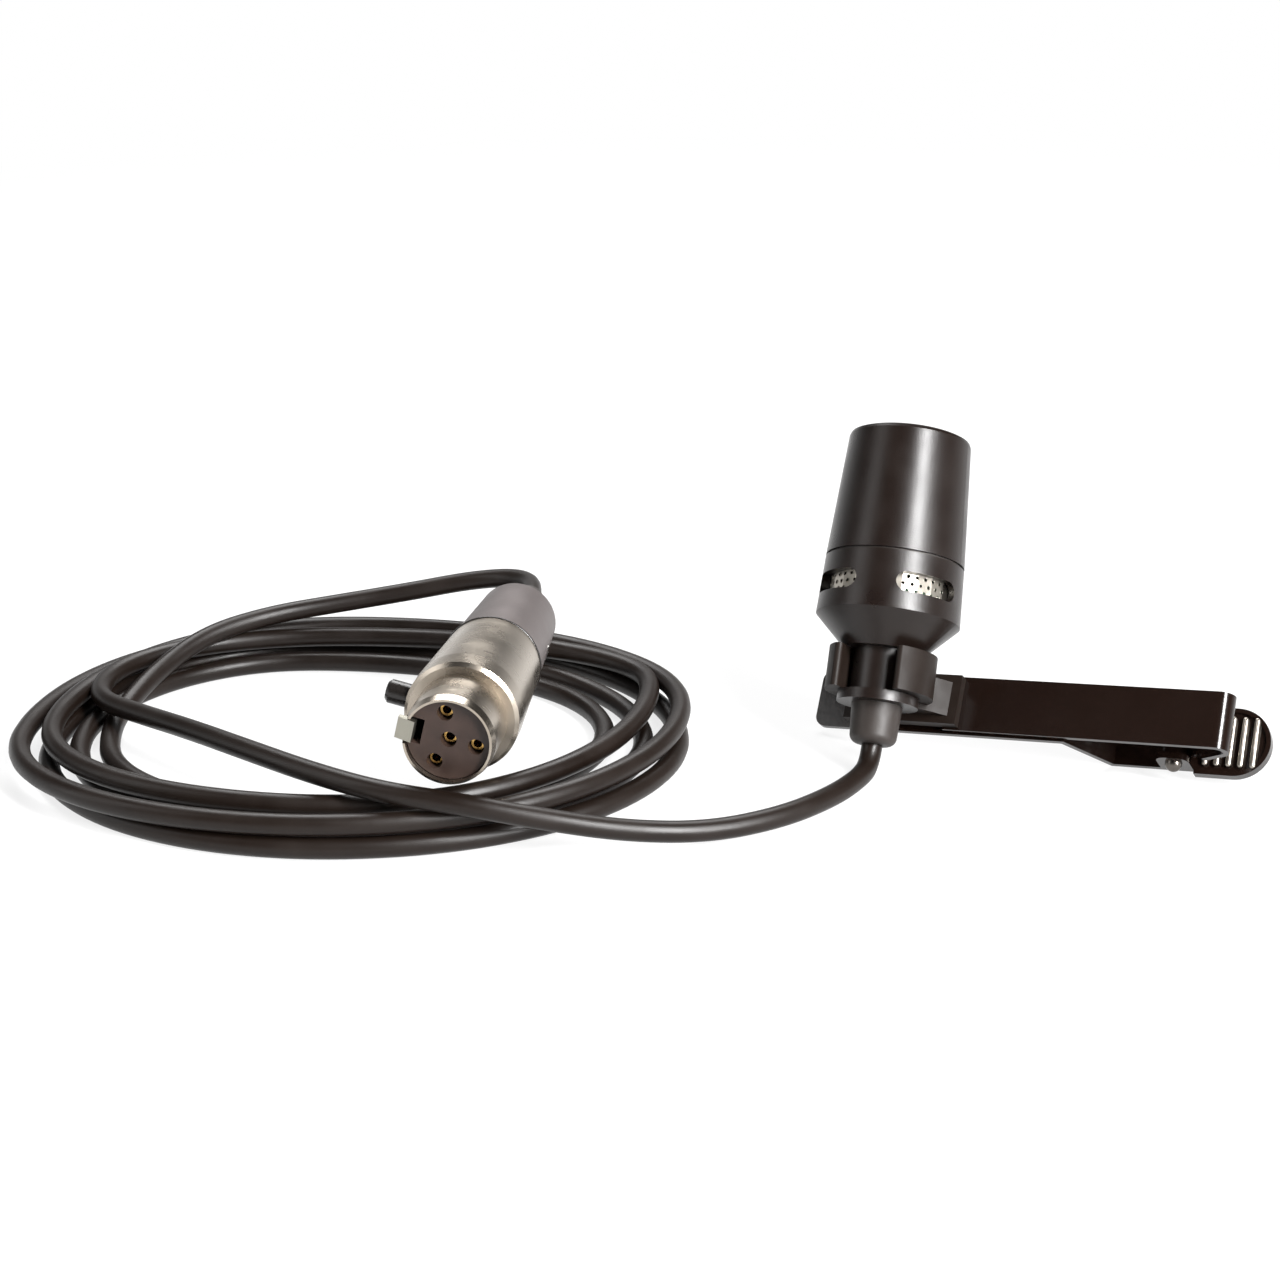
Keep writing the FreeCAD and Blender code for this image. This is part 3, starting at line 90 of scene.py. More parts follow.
class EffectGroups:
    """Builds each shared effect once, as a node group with named inputs and outputs."""

    def __init__(self) -> None:
        """Start with no groups built."""
        self._built: dict[str, bpy.types.NodeTree] = {}

    def _start(
        self, name: str, inputs: dict[str, float], outputs: list[str]
    ) -> tuple[bpy.types.NodeTree, bpy.types.Node, bpy.types.Node]:
        """Open a group with a coordinate input and some numbers.

        Args:
            name: The group's name.
            inputs: Default value of each number input.
            outputs: Names of its value outputs.

        Returns:
            The tree, its input node and its output node.
        """
        tree = bpy.data.node_groups.new(name, "ShaderNodeTree")
        tree.interface.new_socket("Place", in_out="INPUT", socket_type="NodeSocketVector")
        for label, value in inputs.items():
            socket = tree.interface.new_socket(label, in_out="INPUT", socket_type="NodeSocketFloat")
            socket.default_value = value
        for label in outputs:
            tree.interface.new_socket(label, in_out="OUTPUT", socket_type="NodeSocketFloat")
        return tree, tree.nodes.new("NodeGroupInput"), tree.nodes.new("NodeGroupOutput")

    def grain(self) -> bpy.types.NodeTree:
        """Return the fine tooth of a sprayed or moulded surface.

        Returns:
            A group with a Height and a Tone output.
        """
        if "grain" in self._built:
            return self._built["grain"]
        tree, start, end = self._start(
            "grain", {"Fine": 6000.0, "Broad": 350.0}, ["Height", "Tone"])
        fine = tree.nodes.new("ShaderNodeTexNoise")
        broad = tree.nodes.new("ShaderNodeTexNoise")
        for node, label, detail in zip((fine, broad), ("Fine", "Broad"), GRAIN_DETAIL):
            node.inputs["Detail"].default_value = detail
            tree.links.new(start.outputs["Place"], node.inputs["Vector"])
            tree.links.new(start.outputs[label], node.inputs["Scale"])
        tree.links.new(fine.outputs["Fac"], end.inputs["Height"])
        tree.links.new(broad.outputs["Fac"], end.inputs["Tone"])
        self._built["grain"] = tree
        return tree

    def turning(self) -> bpy.types.NodeTree:
        """Return the rings that a lathe leaves across the Place's Z.

        Returns:
            A group with a Height and a Tone output.
        """
        if "turning" in self._built:
            return self._built["turning"]
        tree, start, end = self._start(
            "turning", {"Pitch": 9000.0, "Cloud": 500.0}, ["Height", "Tone"])
        split = tree.nodes.new("ShaderNodeSeparateXYZ")
        rings = tree.nodes.new("ShaderNodeTexNoise")
        rings.noise_dimensions = "1D"
        cloud = tree.nodes.new("ShaderNodeTexNoise")
        rings.inputs["Detail"].default_value, cloud.inputs["Detail"].default_value = TURNING_DETAIL
        tree.links.new(start.outputs["Place"], split.inputs[0])
        tree.links.new(split.outputs["Z"], rings.inputs["W"])
        tree.links.new(start.outputs["Pitch"], rings.inputs["Scale"])
        tree.links.new(start.outputs["Place"], cloud.inputs["Vector"])
        tree.links.new(start.outputs["Cloud"], cloud.inputs["Scale"])
        tree.links.new(rings.outputs["Fac"], end.inputs["Height"])
        tree.links.new(cloud.outputs["Fac"], end.inputs["Tone"])
        self._built["turning"] = tree
        return tree

    def scuffs(self) -> bpy.types.NodeTree:
        """Return sparse fine scuffs and handling marks.

        Returns:
            A group with one Mask output.
        """
        if "scuffs" in self._built:
            return self._built["scuffs"]
        tree, start, end = self._start("scuffs", {"Scale": 260.0, "Rarity": 0.62}, ["Mask"])
        stretch = tree.nodes.new("ShaderNodeMapping")
        stretch.inputs["Rotation"].default_value = SCUFF_TURN
        stretch.inputs["Scale"].default_value = SCUFF_STRETCH
        noise = tree.nodes.new("ShaderNodeTexNoise")
        noise.inputs["Detail"].default_value = SCUFF_DETAIL
        limit = tree.nodes.new("ShaderNodeMapRange")
        limit.inputs["From Max"].default_value = SCUFF_FULL
        tree.links.new(start.outputs["Place"], stretch.inputs["Vector"])
        tree.links.new(stretch.outputs[0], noise.inputs["Vector"])
        tree.links.new(start.outputs["Scale"], noise.inputs["Scale"])
        tree.links.new(noise.outputs["Fac"], limit.inputs["Value"])
        tree.links.new(start.outputs["Rarity"], limit.inputs["From Min"])
        tree.links.new(limit.outputs[0], end.inputs["Mask"])
        self._built["scuffs"] = tree
        return tree


GROUPS = EffectGroups()

Color = tuple[float, float, float]
Triple = tuple[float, float, float]


@dataclass(frozen=True)
class Finish:
    """A material whose tone, roughness and bump follow the shared effects.

    Attributes:
        name: The material's name.
        dark: The colour of its darker patches.
        light: The colour of its lighter patches.
        rough: Least and greatest roughness.
        metallic: Whether it is a metal.
        bump: Height of the fine relief, in metres.
        fine: Scale of the fine relief.
        broad: Scale of the patches.
        turned: Whether lathe rings take the place of grain.
        turn: The rotation that lays the rings' axis along Z.
        coat: Weight of a clear coat.
        scuffed: How much roughness the scuffs add.
        specular: How strongly a surface that isn't metal mirrors.
    """

    name: str
    dark: Color
    light: Color
    rough: tuple[float, float]
    metallic: float = 0.0
    bump: float = 0.00002
    fine: float = 6000.0
    broad: float = 350.0
    turned: bool = False
    turn: Triple = (0.0, 0.0, 0.0)
    coat: float = 0.0
    scuffed: float = 0.0
    specular: float = 0.5

    def material(self) -> bpy.types.Material:
        """Build the material, once.

        Returns:
            The material.
        """
        name = "finish_" + self.name
        known = bpy.data.materials.get(name)
        if known:
            return known
        made = bpy.data.materials.new(name)
        made.use_nodes = True
        nodes, links = made.node_tree.nodes, made.node_tree.links
        shader = nodes["Principled BSDF"]
        shader.inputs["Metallic"].default_value = self.metallic
        shader.inputs["Coat Weight"].default_value = self.coat
        shader.inputs["Coat Roughness"].default_value = COAT_ROUGHNESS
        shader.inputs["Specular IOR Level"].default_value = self.specular
        place = nodes.new("ShaderNodeTexCoord")
        turn = nodes.new("ShaderNodeMapping")
        turn.inputs["Rotation"].default_value = self.turn
        links.new(place.outputs["Object"], turn.inputs["Vector"])
        effect = nodes.new("ShaderNodeGroup")
        effect.node_tree = GROUPS.turning() if self.turned else GROUPS.grain()
        effect.inputs[1].default_value = self.fine
        effect.inputs[2].default_value = self.broad
        links.new(turn.outputs[0], effect.inputs["Place"])
        tone = nodes.new("ShaderNodeMix")
        tone.data_type = "RGBA"
        tone.inputs[6].default_value = (*self.dark, 1)
        tone.inputs[7].default_value = (*self.light, 1)
        links.new(effect.outputs["Tone"], tone.inputs[0])
        links.new(tone.outputs[2], shader.inputs["Base Color"])
        rough = self._roughness(made.node_tree, effect.outputs["Tone"], place.outputs["Object"])
        links.new(rough, shader.inputs["Roughness"])
        relief = nodes.new("ShaderNodeBump")
        relief.inputs["Distance"].default_value = self.bump
        relief.inputs["Strength"].default_value = 1.0
        links.new(effect.outputs["Height"], relief.inputs["Height"])
        links.new(relief.outputs[0], shader.inputs["Normal"])
        return made

    def _roughness(self, tree: bpy.types.NodeTree, tone: bpy.types.NodeSocket,
                   place: bpy.types.NodeSocket) -> bpy.types.NodeSocket:
        """Let the roughness follow the tone, and add the scuffs.

        Args:
            tree: The material's tree.
            tone: The effect's tone.
            place: The Object coordinates.

        Returns:
            The output that carries the roughness.
        """
        rough = tree.nodes.new("ShaderNodeMapRange")
        for label, value in zip(("From Min", "From Max", "To Min", "To Max"),
                                TONE_SPAN + self.rough):
            rough.inputs[label].default_value = value
        tree.links.new(tone, rough.inputs["Value"])
        if not self.scuffed:
            return rough.outputs[0]
        marks = tree.nodes.new("ShaderNodeGroup")
        marks.node_tree = GROUPS.scuffs()
        tree.links.new(place, marks.inputs["Place"])
        add = tree.nodes.new("ShaderNodeMath")
        add.operation = "MULTIPLY_ADD"
        add.inputs[1].default_value = self.scuffed
        tree.links.new(marks.outputs["Mask"], add.inputs[0])
        tree.links.new(rough.outputs[0], add.inputs[2])
        return add.outputs[0]


def rings_along(axis: Vector) -> Triple:
    """Return the Mapping rotation that lays a direction along Z.

    Args:
        axis: The direction, in the frame.

    Returns:
        Euler angles for a Mapping node.
    """
    return tuple(axis.rotation_difference(Vector((0, 0, 1))).to_euler("XYZ"))


MIC_AXIS = Vector((0.142273, 0.507716, 0.849696))  # from the head's foot towards its grille
PLUG_AXIS = Vector((0.144356, 0.989526, 0.0))  # from the nose's rim towards the cord
CLIP_PLACE_MM = Vector((-13.12, 1.3, 4.63))
CLIP_YAW_DEG = -26.4
CLIP_PITCH_DEG = -6.6
CLIP_ROLL_DEG = 50.0
CLIP_FRAME = (Matrix.Translation(CLIP_PLACE_MM * MM)
              @ Matrix.Rotation(math.radians(CLIP_YAW_DEG), 4, "Z")
              @ Matrix.Rotation(math.radians(CLIP_PITCH_DEG), 4, "Y")
              @ Matrix.Rotation(math.radians(CLIP_ROLL_DEG), 4, "X"))

SATIN_BLACK = Finish("satin_black_paint", (0.0045, 0.0024, 0.0018), (0.0075, 0.0045, 0.0034),
                     (0.27, 0.35), bump=0.000012, fine=9000, broad=300, scuffed=0.04,
                     specular=0.36)
GRILLE_BLACK = Finish("grille_black_paint", (0.008, 0.007, 0.006), (0.014, 0.012, 0.011),
                      (0.36, 0.46), specular=0.4)
SCREEN_NICKEL = Finish("screen_nickel", (0.3, 0.275, 0.235), (0.5, 0.465, 0.41), (0.26, 0.38),
                       metallic=1.0, bump=0.000006, turned=True, turn=rings_along(MIC_AXIS))
CLOTH_BLACK = Finish("cloth_black", (0.006, 0.006, 0.006), (0.014, 0.014, 0.014), (0.85, 0.95),
                     bump=0.00006, fine=3500, specular=0.2)
CAPSULE_METAL = Finish("capsule_metal", (0.6, 0.6, 0.6), (0.74, 0.74, 0.74), (0.25, 0.35),
                       metallic=1.0)
BOARD_GREEN = Finish("board_green", (0.02, 0.09, 0.04), (0.035, 0.13, 0.06), (0.4, 0.5))
RUBBER_BLACK = Finish("rubber_black", (0.011, 0.008, 0.0066), (0.021, 0.016, 0.0135),
                      (0.42, 0.6), bump=0.000012, fine=3600, broad=420, specular=0.4)
BOOT_GREY = Finish("boot_grey", (0.022, 0.019, 0.017), (0.04, 0.035, 0.032), (0.45, 0.6),
                   bump=0.00001, fine=3600, specular=0.4)
HOLDER_BLACK = Finish("moulded_black", (0.0055, 0.0032, 0.0022), (0.01, 0.0064, 0.0048),
                      (0.42, 0.56), bump=0.000008, fine=3200, broad=380, scuffed=0.05,
                      specular=0.16)
GLOSS_BLACK = Finish("gloss_black_enamel", (0.004, 0.002, 0.0014), (0.007, 0.0036, 0.0026),
                     (0.12, 0.2), bump=0.000008, fine=1200, broad=120, coat=0.12, scuffed=0.06,
                     specular=0.3)
WORN_BLACK = Finish("worn_black_nickel", (0.07, 0.062, 0.055), (0.16, 0.145, 0.13), (0.22, 0.34),
                    metallic=1.0, bump=0.00001, fine=2600, broad=420, scuffed=0.12)
# Partly painted highlight: the ribs are real rounded metal that mirrors the room, but their light
# colour stands in for the glints on ribs as black as the lever.
RIB_GLINT_METAL = Finish("rib_painted_glints", (0.3, 0.27, 0.235), (0.44, 0.4, 0.355), (0.3, 0.42),
                   metallic=1.0, bump=0.00001, fine=3000, broad=700)
STEEL = Finish("steel", (0.36, 0.35, 0.33), (0.5, 0.49, 0.46), (0.24, 0.34), metallic=1.0)
NICKEL = Finish("nickel_plate", (0.32, 0.275, 0.22), (0.52, 0.465, 0.4), (0.2, 0.34),
                metallic=1.0, bump=0.000007, broad=210, turned=True,
                turn=rings_along(PLUG_AXIS), scuffed=0.14)
LATCH_NICKEL = Finish("latch_nickel", (0.26, 0.25, 0.21), (0.4, 0.385, 0.33), (0.28, 0.4),
                      metallic=1.0, bump=0.000007, broad=500, scuffed=0.12)
GOLD = Finish("gold_plate", (0.5, 0.29, 0.08), (0.72, 0.46, 0.16), (0.2, 0.32), metallic=1.0)
INSERT_BLACK = Finish("insert_brown_black", (0.009, 0.0042, 0.0028), (0.034, 0.019, 0.014),
                      (0.4, 0.62), bump=0.000009, fine=2400, broad=520, scuffed=0.15,
                      specular=0.4)
COVER_GREY = Finish("cover_matte_grey", (0.075, 0.062, 0.06), (0.12, 0.104, 0.101), (0.4, 0.54),
                    metallic=0.5, bump=0.00002, fine=5200, broad=260, scuffed=0.1)
BUTTON_BLACK = Finish("button_black", (0.006, 0.005, 0.0045), (0.011, 0.009, 0.008),
                      (0.16, 0.26), specular=0.45)
CORD_BLACK = Finish("cord_jacket", (0.0045, 0.0026, 0.0017), (0.0095, 0.0058, 0.0042),
                    (0.34, 0.46), bump=0.000009, fine=2400, broad=200, scuffed=0.04,
                    specular=0.27)


def dress(nodes: dict[str, bpy.types.Object], finishes: dict[Finish, tuple[str, ...]]) -> None:
    """Give CAD nodes their finish.

    Args:
        nodes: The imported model's objects by name.
        finishes: The names of the nodes that take each finish.
    """
    for finish, names in finishes.items():
        for name in names:
            slots = nodes[name].data.materials
            slots.clear()
            slots.append(finish.material())
    LOG.info("dressed %d nodes", sum(len(names) for names in finishes.values()))


# ---- trims that repeat


class RowTree:
    """The Geometry Nodes tree that sets one small trim on every point of a row."""

    def __init__(self) -> None:
        """Build the tree, with its sizes as named inputs."""
        self.tree = bpy.data.node_groups.new("row_of_trims", "GeometryNodeTree")
        face = self.tree.interface
        face.new_socket("Geometry", in_out="INPUT", socket_type="NodeSocketGeometry")
        for label, value in (("Radius", 0.0003), ("Wire", 0.00005), ("Length", 0.0)):
            socket = face.new_socket(label, in_out="INPUT", socket_type="NodeSocketFloat")
            socket.default_value = value
        for label, value in (("Sides", 16), ("Wire Sides", 8)):
            socket = face.new_socket(label, in_out="INPUT", socket_type="NodeSocketInt")
            socket.default_value = value
        face.new_socket("Finish", in_out="INPUT", socket_type="NodeSocketMaterial")
        face.new_socket("Geometry", in_out="OUTPUT", socket_type="NodeSocketGeometry")
        self._wire_up()

    def _trim(self, start: bpy.types.Node) -> bpy.types.NodeSocket:
        """Sweep a wire along a ring that the Length stretches along its X.

        Args:
            start: The tree's input node.

        Returns:
            The output that carries the trim.
        """
        nodes, links = self.tree.nodes, self.tree.links
        ring = nodes.new("GeometryNodeCurvePrimitiveCircle")
        wire = nodes.new("GeometryNodeCurvePrimitiveCircle")
        links.new(start.outputs["Sides"], ring.inputs["Resolution"])
        links.new(start.outputs["Radius"], ring.inputs["Radius"])
        links.new(start.outputs["Wire Sides"], wire.inputs["Resolution"])
        links.new(start.outputs["Wire"], wire.inputs["Radius"])
        place = nodes.new("GeometryNodeInputPosition")
        split = nodes.new("ShaderNodeSeparateXYZ")
        side = nodes.new("ShaderNodeMath")
        side.operation = "SIGN"
        reach = nodes.new("ShaderNodeMath")
        reach.operation = "MULTIPLY"
        shift = nodes.new("ShaderNodeCombineXYZ")
        stretch = nodes.new("GeometryNodeSetPosition")
        links.new(place.outputs[0], split.inputs[0])
        links.new(split.outputs["X"], side.inputs[0])
        links.new(side.outputs[0], reach.inputs[0])
        links.new(start.outputs["Length"], reach.inputs[1])
        links.new(reach.outputs[0], shift.inputs["X"])
        links.new(ring.outputs[0], stretch.inputs["Geometry"])
        links.new(shift.outputs[0], stretch.inputs["Offset"])
        solid = nodes.new("GeometryNodeCurveToMesh")
        links.new(stretch.outputs[0], solid.inputs["Curve"])
        links.new(wire.outputs[0], solid.inputs["Profile Curve"])
        return solid.outputs[0]

    def _wire_up(self) -> None:
        """Set the trim on every point, turned as the point's attribute says."""
        nodes, links = self.tree.nodes, self.tree.links
        start, end = nodes.new("NodeGroupInput"), nodes.new("NodeGroupOutput")
        turn = nodes.new("GeometryNodeInputNamedAttribute")
        turn.data_type = "QUATERNION"
        turn.inputs["Name"].default_value = "turn"
        row = nodes.new("GeometryNodeInstanceOnPoints")
        links.new(start.outputs["Geometry"], row.inputs["Points"])
        links.new(self._trim(start), row.inputs["Instance"])
        links.new(turn.outputs[0], row.inputs["Rotation"])
        last = row.outputs[0]
        for kind in ("GeometryNodeRealizeInstances", "GeometryNodeSetShadeSmooth",
                     "GeometryNodeSetMaterial"):
            step = nodes.new(kind)
            links.new(last, step.inputs["Geometry"])
            last = step.outputs[0]
        links.new(start.outputs["Finish"], step.inputs["Material"])
        links.new(last, end.inputs["Geometry"])

    def bake(self, name: str, places: list[Matrix], sizes: dict[str, float | int],
             finish: Finish) -> bpy.types.Object:
        """Set the trims and turn them into a plain mesh.

        Args:
            name: The piece's name.
            places: Each trim's place and turn, with Z out of the surface.
            sizes: Values of the tree's named inputs.
            finish: The finish.

        Returns:
            The finished piece, at the origin.
        """
        seed = bpy.data.meshes.new(name + "_points")
        seed.from_pydata([place.translation for place in places], [], [])
        turns = seed.attributes.new("turn", "QUATERNION", "POINT")
        for index, place in enumerate(places):
            turns.data[index].value = tuple(place.to_quaternion())
        carrier = bpy.data.objects.new(name + "_points", seed)
        bpy.context.scene.collection.objects.link(carrier)
        modifier = carrier.modifiers.new("row", "NODES")
        modifier.node_group = self.tree
        values = dict(sizes, Finish=finish.material())
        for item in self.tree.interface.items_tree:
            if item.in_out == "INPUT" and item.name in values:
                modifier[item.identifier] = values[item.name]
        bpy.context.view_layer.update()
        graph = bpy.context.evaluated_depsgraph_get()
        mesh = bpy.data.meshes.new_from_object(carrier.evaluated_get(graph), depsgraph=graph)
        mesh.name = name
        carrier.modifiers.remove(modifier)
        bpy.data.objects.remove(carrier)
        made = bpy.data.objects.new(name, mesh)
        bpy.context.scene.collection.objects.link(made)
        return made


def place_at(origin: Vector, across: Vector, up: Vector) -> Matrix:
    """Return a place whose X runs across, Y up, and Z out of the surface.

    Args:
        origin: The place.
        across: The direction of its X.
        up: The direction of its Y.

    Returns:
        The place as a matrix.
    """
    out = across.cross(up).normalized()
    turned = Matrix((across.normalized(), out.cross(across).normalized(), out)).transposed()
    return Matrix.Translation(origin) @ turned.to_4x4()


@dataclass
class Microphone:
    """The head: finishes, and the rims punched round the holes of its side screen.

    Attributes:
        origin_mm: The foot of the head's axis.
        bearing_deg: Where the middle of one slot looks.
        slots: Slots round the ring.
        sleeve_mm: The screen's reach from the axis.
        middle_mm: The slots' height along the axis.
        rows: Each row's height beside the middle and its number of holes.
        pitch_mm: Distance between the holes of a row.
        hole_mm: Radius of a rim.
        edge_mm: Half thickness of a rim.
        sides: Sides of a rim, and of its wire.
    """

    origin_mm: Triple = (-15.692, -2.731, 9.047)
    bearing_deg: float = 52.5
    slots: int = 4
    sleeve_mm: float = 6.12
    middle_mm: float = 8.125
    rows: tuple[tuple[float, int], ...] = ((-0.7, 5), (0.0, 6), (0.7, 5))
    pitch_mm: float = 0.9
    hole_mm: float = 0.2
    edge_mm: float = 0.03
    sides: tuple[int, int] = (12, 6)

    @staticmethod
    def finishes() -> dict[Finish, tuple[str, ...]]:
        """Give the head's finishes.

        Returns:
            The names of the nodes that take each finish.
        """
        return {
            SATIN_BLACK: ("cap_shell", "port_ring", "mic_base"),
            GRILLE_BLACK: ("front_grille",),
            SCREEN_NICKEL: ("port_screen",),
            CLOTH_BLACK: ("grille_cloth",),
            CAPSULE_METAL: ("capsule", "retaining_ring"),
            BOARD_GREEN: ("capsule_board", "terminal_board"),
            RUBBER_BLACK: ("capsule_mount", "seal_ring", "mic_boot"),
            STEEL: ("cord_ferrule",),
            GOLD: ("contact_pin_1", "contact_pin_2"),
            CORD_BLACK: ("cord_stub",),
        }

    def places(self) -> list[Matrix]:
        """Find the middle of every hole.

        Returns:
            The places, turned outwards.
        """
        side = CLIP_FRAME.to_3x3() @ Vector((1, 0, 0))
        front = MIC_AXIS.cross(side)
        made = []
        for slot in range(self.slots):
            bearing = math.radians(self.bearing_deg + 360 * slot / self.slots)
            out = side * math.cos(bearing) + front * math.sin(bearing)
            across = MIC_AXIS.cross(out)
            for up, count in self.rows:
                for column in range(count):
                    aside = (column - (count - 1) / 2) * self.pitch_mm
                    deep = math.sqrt(self.sleeve_mm ** 2 - aside ** 2)
                    normal = (out * deep + across * aside).normalized()
                    at = (Vector(self.origin_mm) + MIC_AXIS * (self.middle_mm + up)
                          + normal * self.sleeve_mm)
                    made.append(place_at(at * MM, MIC_AXIS.cross(normal), MIC_AXIS))
        return made

    def build(self, nodes: dict[str, bpy.types.Object], tree: RowTree) -> None:
        """Dress the head and set the rims.

        Args:
            nodes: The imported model's objects by name.
            tree: The tree that sets a row.
        """
        dress(nodes, self.finishes())
        rims = tree.bake("screen_rims", self.places(),
                         {"Radius": self.hole_mm * MM, "Wire": self.edge_mm * MM,
                          "Length": 0.0, "Sides": self.sides[0],
                          "Wire Sides": self.sides[1]}, SCREEN_NICKEL)
        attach(rims, "microphone")


@dataclass
class Clip:
    """The tie clip: finishes, and the rounded ribs of its thumb pad, whose light metal colour is a
    painted highlight for their glints.

    Attributes:
        first_mm: Where the first rib's middle lies along the bar.
        pitch_mm: Distance between ribs.
        count: How many ribs there are.
        half_mm: Half of a rib's straight length.
        radius_mm: Half of a rib's width.
        turn_mm: Radius of the turn at a rib's ends.
        face_mm: Height of the ribs' middle on the face that looks at the bar.
        sides: Sides of a rib's turn, and of its section.
    """

    first_mm: float = 29.875
    pitch_mm: float = 1.15
    count: int = 5
    half_mm: float = 2.3
    radius_mm: float = 0.26
    turn_mm: float = 0.05
    face_mm: float = -6.4
    sides: tuple[int, int] = (12, 16)

    @staticmethod
    def finishes() -> dict[Finish, tuple[str, ...]]:
        """Give the clip's finishes.

        Returns:
            The names of the nodes that take each finish.
        """
        return {HOLDER_BLACK: ("clip_holder",), GLOSS_BLACK: ("tie_bar", "lever"),
                WORN_BLACK: ("hinge_pin",), STEEL: ("clip_spring",)}

    def build(self, nodes: dict[str, bpy.types.Object], tree: RowTree) -> None:
        """Dress the clip and set the ribs.

        Args:
            nodes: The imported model's objects by name.
            tree: The tree that sets a row.
        """
        dress(nodes, self.finishes())
        turned = CLIP_FRAME.to_3x3()
        across, up = turned @ Vector((0, 1, 0)), turned @ Vector((-1, 0, 0))
        places = []
        for index in range(self.count):
            at = self.first_mm + self.pitch_mm * index
            places.append(place_at(CLIP_FRAME @ (Vector((at, 0, self.face_mm)) * MM),
                                   across, up))
        ribs = tree.bake("thumb_ribs", places,
                         {"Radius": self.turn_mm * MM, "Wire": self.radius_mm * MM,
                          "Length": self.half_mm * MM, "Sides": self.sides[0],
                          "Wire Sides": self.sides[1]}, RIB_GLINT_METAL)
        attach(ribs, "lever")


@dataclass
class Connector:
    """The mini connector: finishes, and the dark line where its two halves meet.

    Attributes:
        rim_mm: The middle of the nose's rim.
        seam_at_mm: Where the halves meet, behind the rim.
        seam_radius_mm: The seam's radius.
        seam_mm: Half of the seam's width.
        sides: Sides of the seam, and of its section.
    """

    rim_mm: Triple = (-57.21, -23.27, 10.3)
    seam_at_mm: float = 20.3
    seam_radius_mm: float = 4.83
    seam_mm: float = 0.14
    sides: tuple[int, int] = (96, 10)

    @staticmethod
    def finishes() -> dict[Finish, tuple[str, ...]]:
        """Give the connector's finishes.

        Returns:
            The names of the nodes that take each finish.
        """
        return {
            NICKEL: ("plug_barrel",),
            LATCH_NICKEL: ("latch_arm",),
            GOLD: ("contact_1", "contact_2", "contact_3", "contact_4"),
            INSERT_BLACK: ("plug_insert", "cord_collet"),
            COVER_GREY: ("plug_cover",),
            BUTTON_BLACK: ("latch_button",),
            RUBBER_BLACK: ("plug_gasket",),
            BOOT_GREY: ("plug_boot",),
            STEEL: ("plug_screw", "latch_pin"),
            CORD_BLACK: ("plug_cord",),
        }

    def build(self, nodes: dict[str, bpy.types.Object], tree: RowTree) -> None:
        """Dress the connector and set its seam.

        Args:
            nodes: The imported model's objects by name.
            tree: The tree that sets a row.
        """
        dress(nodes, self.finishes())
        at = Vector(self.rim_mm) + PLUG_AXIS * self.seam_at_mm
        up = Vector((0, 0, 1))
        seam = tree.bake("plug_seam", [place_at(at * MM, up.cross(PLUG_AXIS), up)],
                         {"Radius": self.seam_radius_mm * MM, "Wire": self.seam_mm * MM,
                          "Length": 0.0, "Sides": self.sides[0],
                          "Wire Sides": self.sides[1]}, BUTTON_BLACK)
        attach(seam, "microphone")


# ---- the cord


@dataclass(frozen=True)
class Bay:
    """Where a strand of the loose coil turns back: its outermost point on one side.

    Attributes:
        x: Its place along X, in millimetres.
        y: Its place along Y, in millimetres.
        z: The height of the cord's middle, in millimetres.
    """

    x: float
    y: float
    z: float


@dataclass
class Coil:
    """The loose oval coil, from its left end, clockwise seen from above.

    Attributes:
        bays: The outermost points: left, rear, right, front and so on.
        steps: Control points from one bay to the next.
        spread: How far a point stands out, so that the smooth curve passes through the bays.
    """

    bays: tuple[Bay, ...] = (
        Bay(-95.9, 9.5, 3.45), Bay(-73.0, 23.6, 3.3), Bay(-38.4, 9.0, 3.3), Bay(-67.0, -21.9, 3.3),
        Bay(-98.9, -1.0, 3.3), Bay(-73.0, 27.2, 3.3), Bay(-35.2, 3.5, 3.3), Bay(-68.0, -26.2, 3.3),
        Bay(-101.4, -4.0, 3.1), Bay(-76.0, 29.6, 1.15), Bay(-35.4, 0.0, 1.05),
        Bay(-68.0, -26.3, 1.05), Bay(-99.0, -2.0, 1.05), Bay(-76.0, 25.9, 1.05),
        Bay(-39.0, -1.0, 1.05), Bay(-68.0, -22.6, 1.05), Bay(-96.4, 0.0, 1.05),
        Bay(-76.0, 21.9, 1.05), Bay(-43.0, 1.0, 1.05), Bay(-69.0, -18.9, 1.05),
        Bay(-93.8, 1.5, 1.05))
    steps: int = 4
    spread: float = 1.012

    def points(self) -> list[Vector]:
        """Return the control points.

        Returns:
            The points, in the frame.
        """
        made = []
        for index, (first, last) in enumerate(zip(self.bays, self.bays[1:])):
            along_x = index % 2 == 0
            middle_x = last.x if along_x else first.x
            middle_y = first.y if along_x else last.y
            for step in range(self.steps):
                share = step / self.steps
                angle = math.radians(90 * share)
                near, far = math.cos(angle), math.sin(angle)
                out_x, out_y = (near, far) if along_x else (far, near)
                reach_x = (first.x if along_x else last.x) - middle_x
                reach_y = (last.y if along_x else first.y) - middle_y
                rise = (1 - math.cos(math.pi * share)) / 2
                made.append(Vector((middle_x + reach_x * out_x * self.spread,
                                    middle_y + reach_y * out_y * self.spread,
                                    first.z + (last.z - first.z) * rise)) * MM)
        last = self.bays[-1]
        return made + [Vector((last.x, last.y, last.z)) * MM]


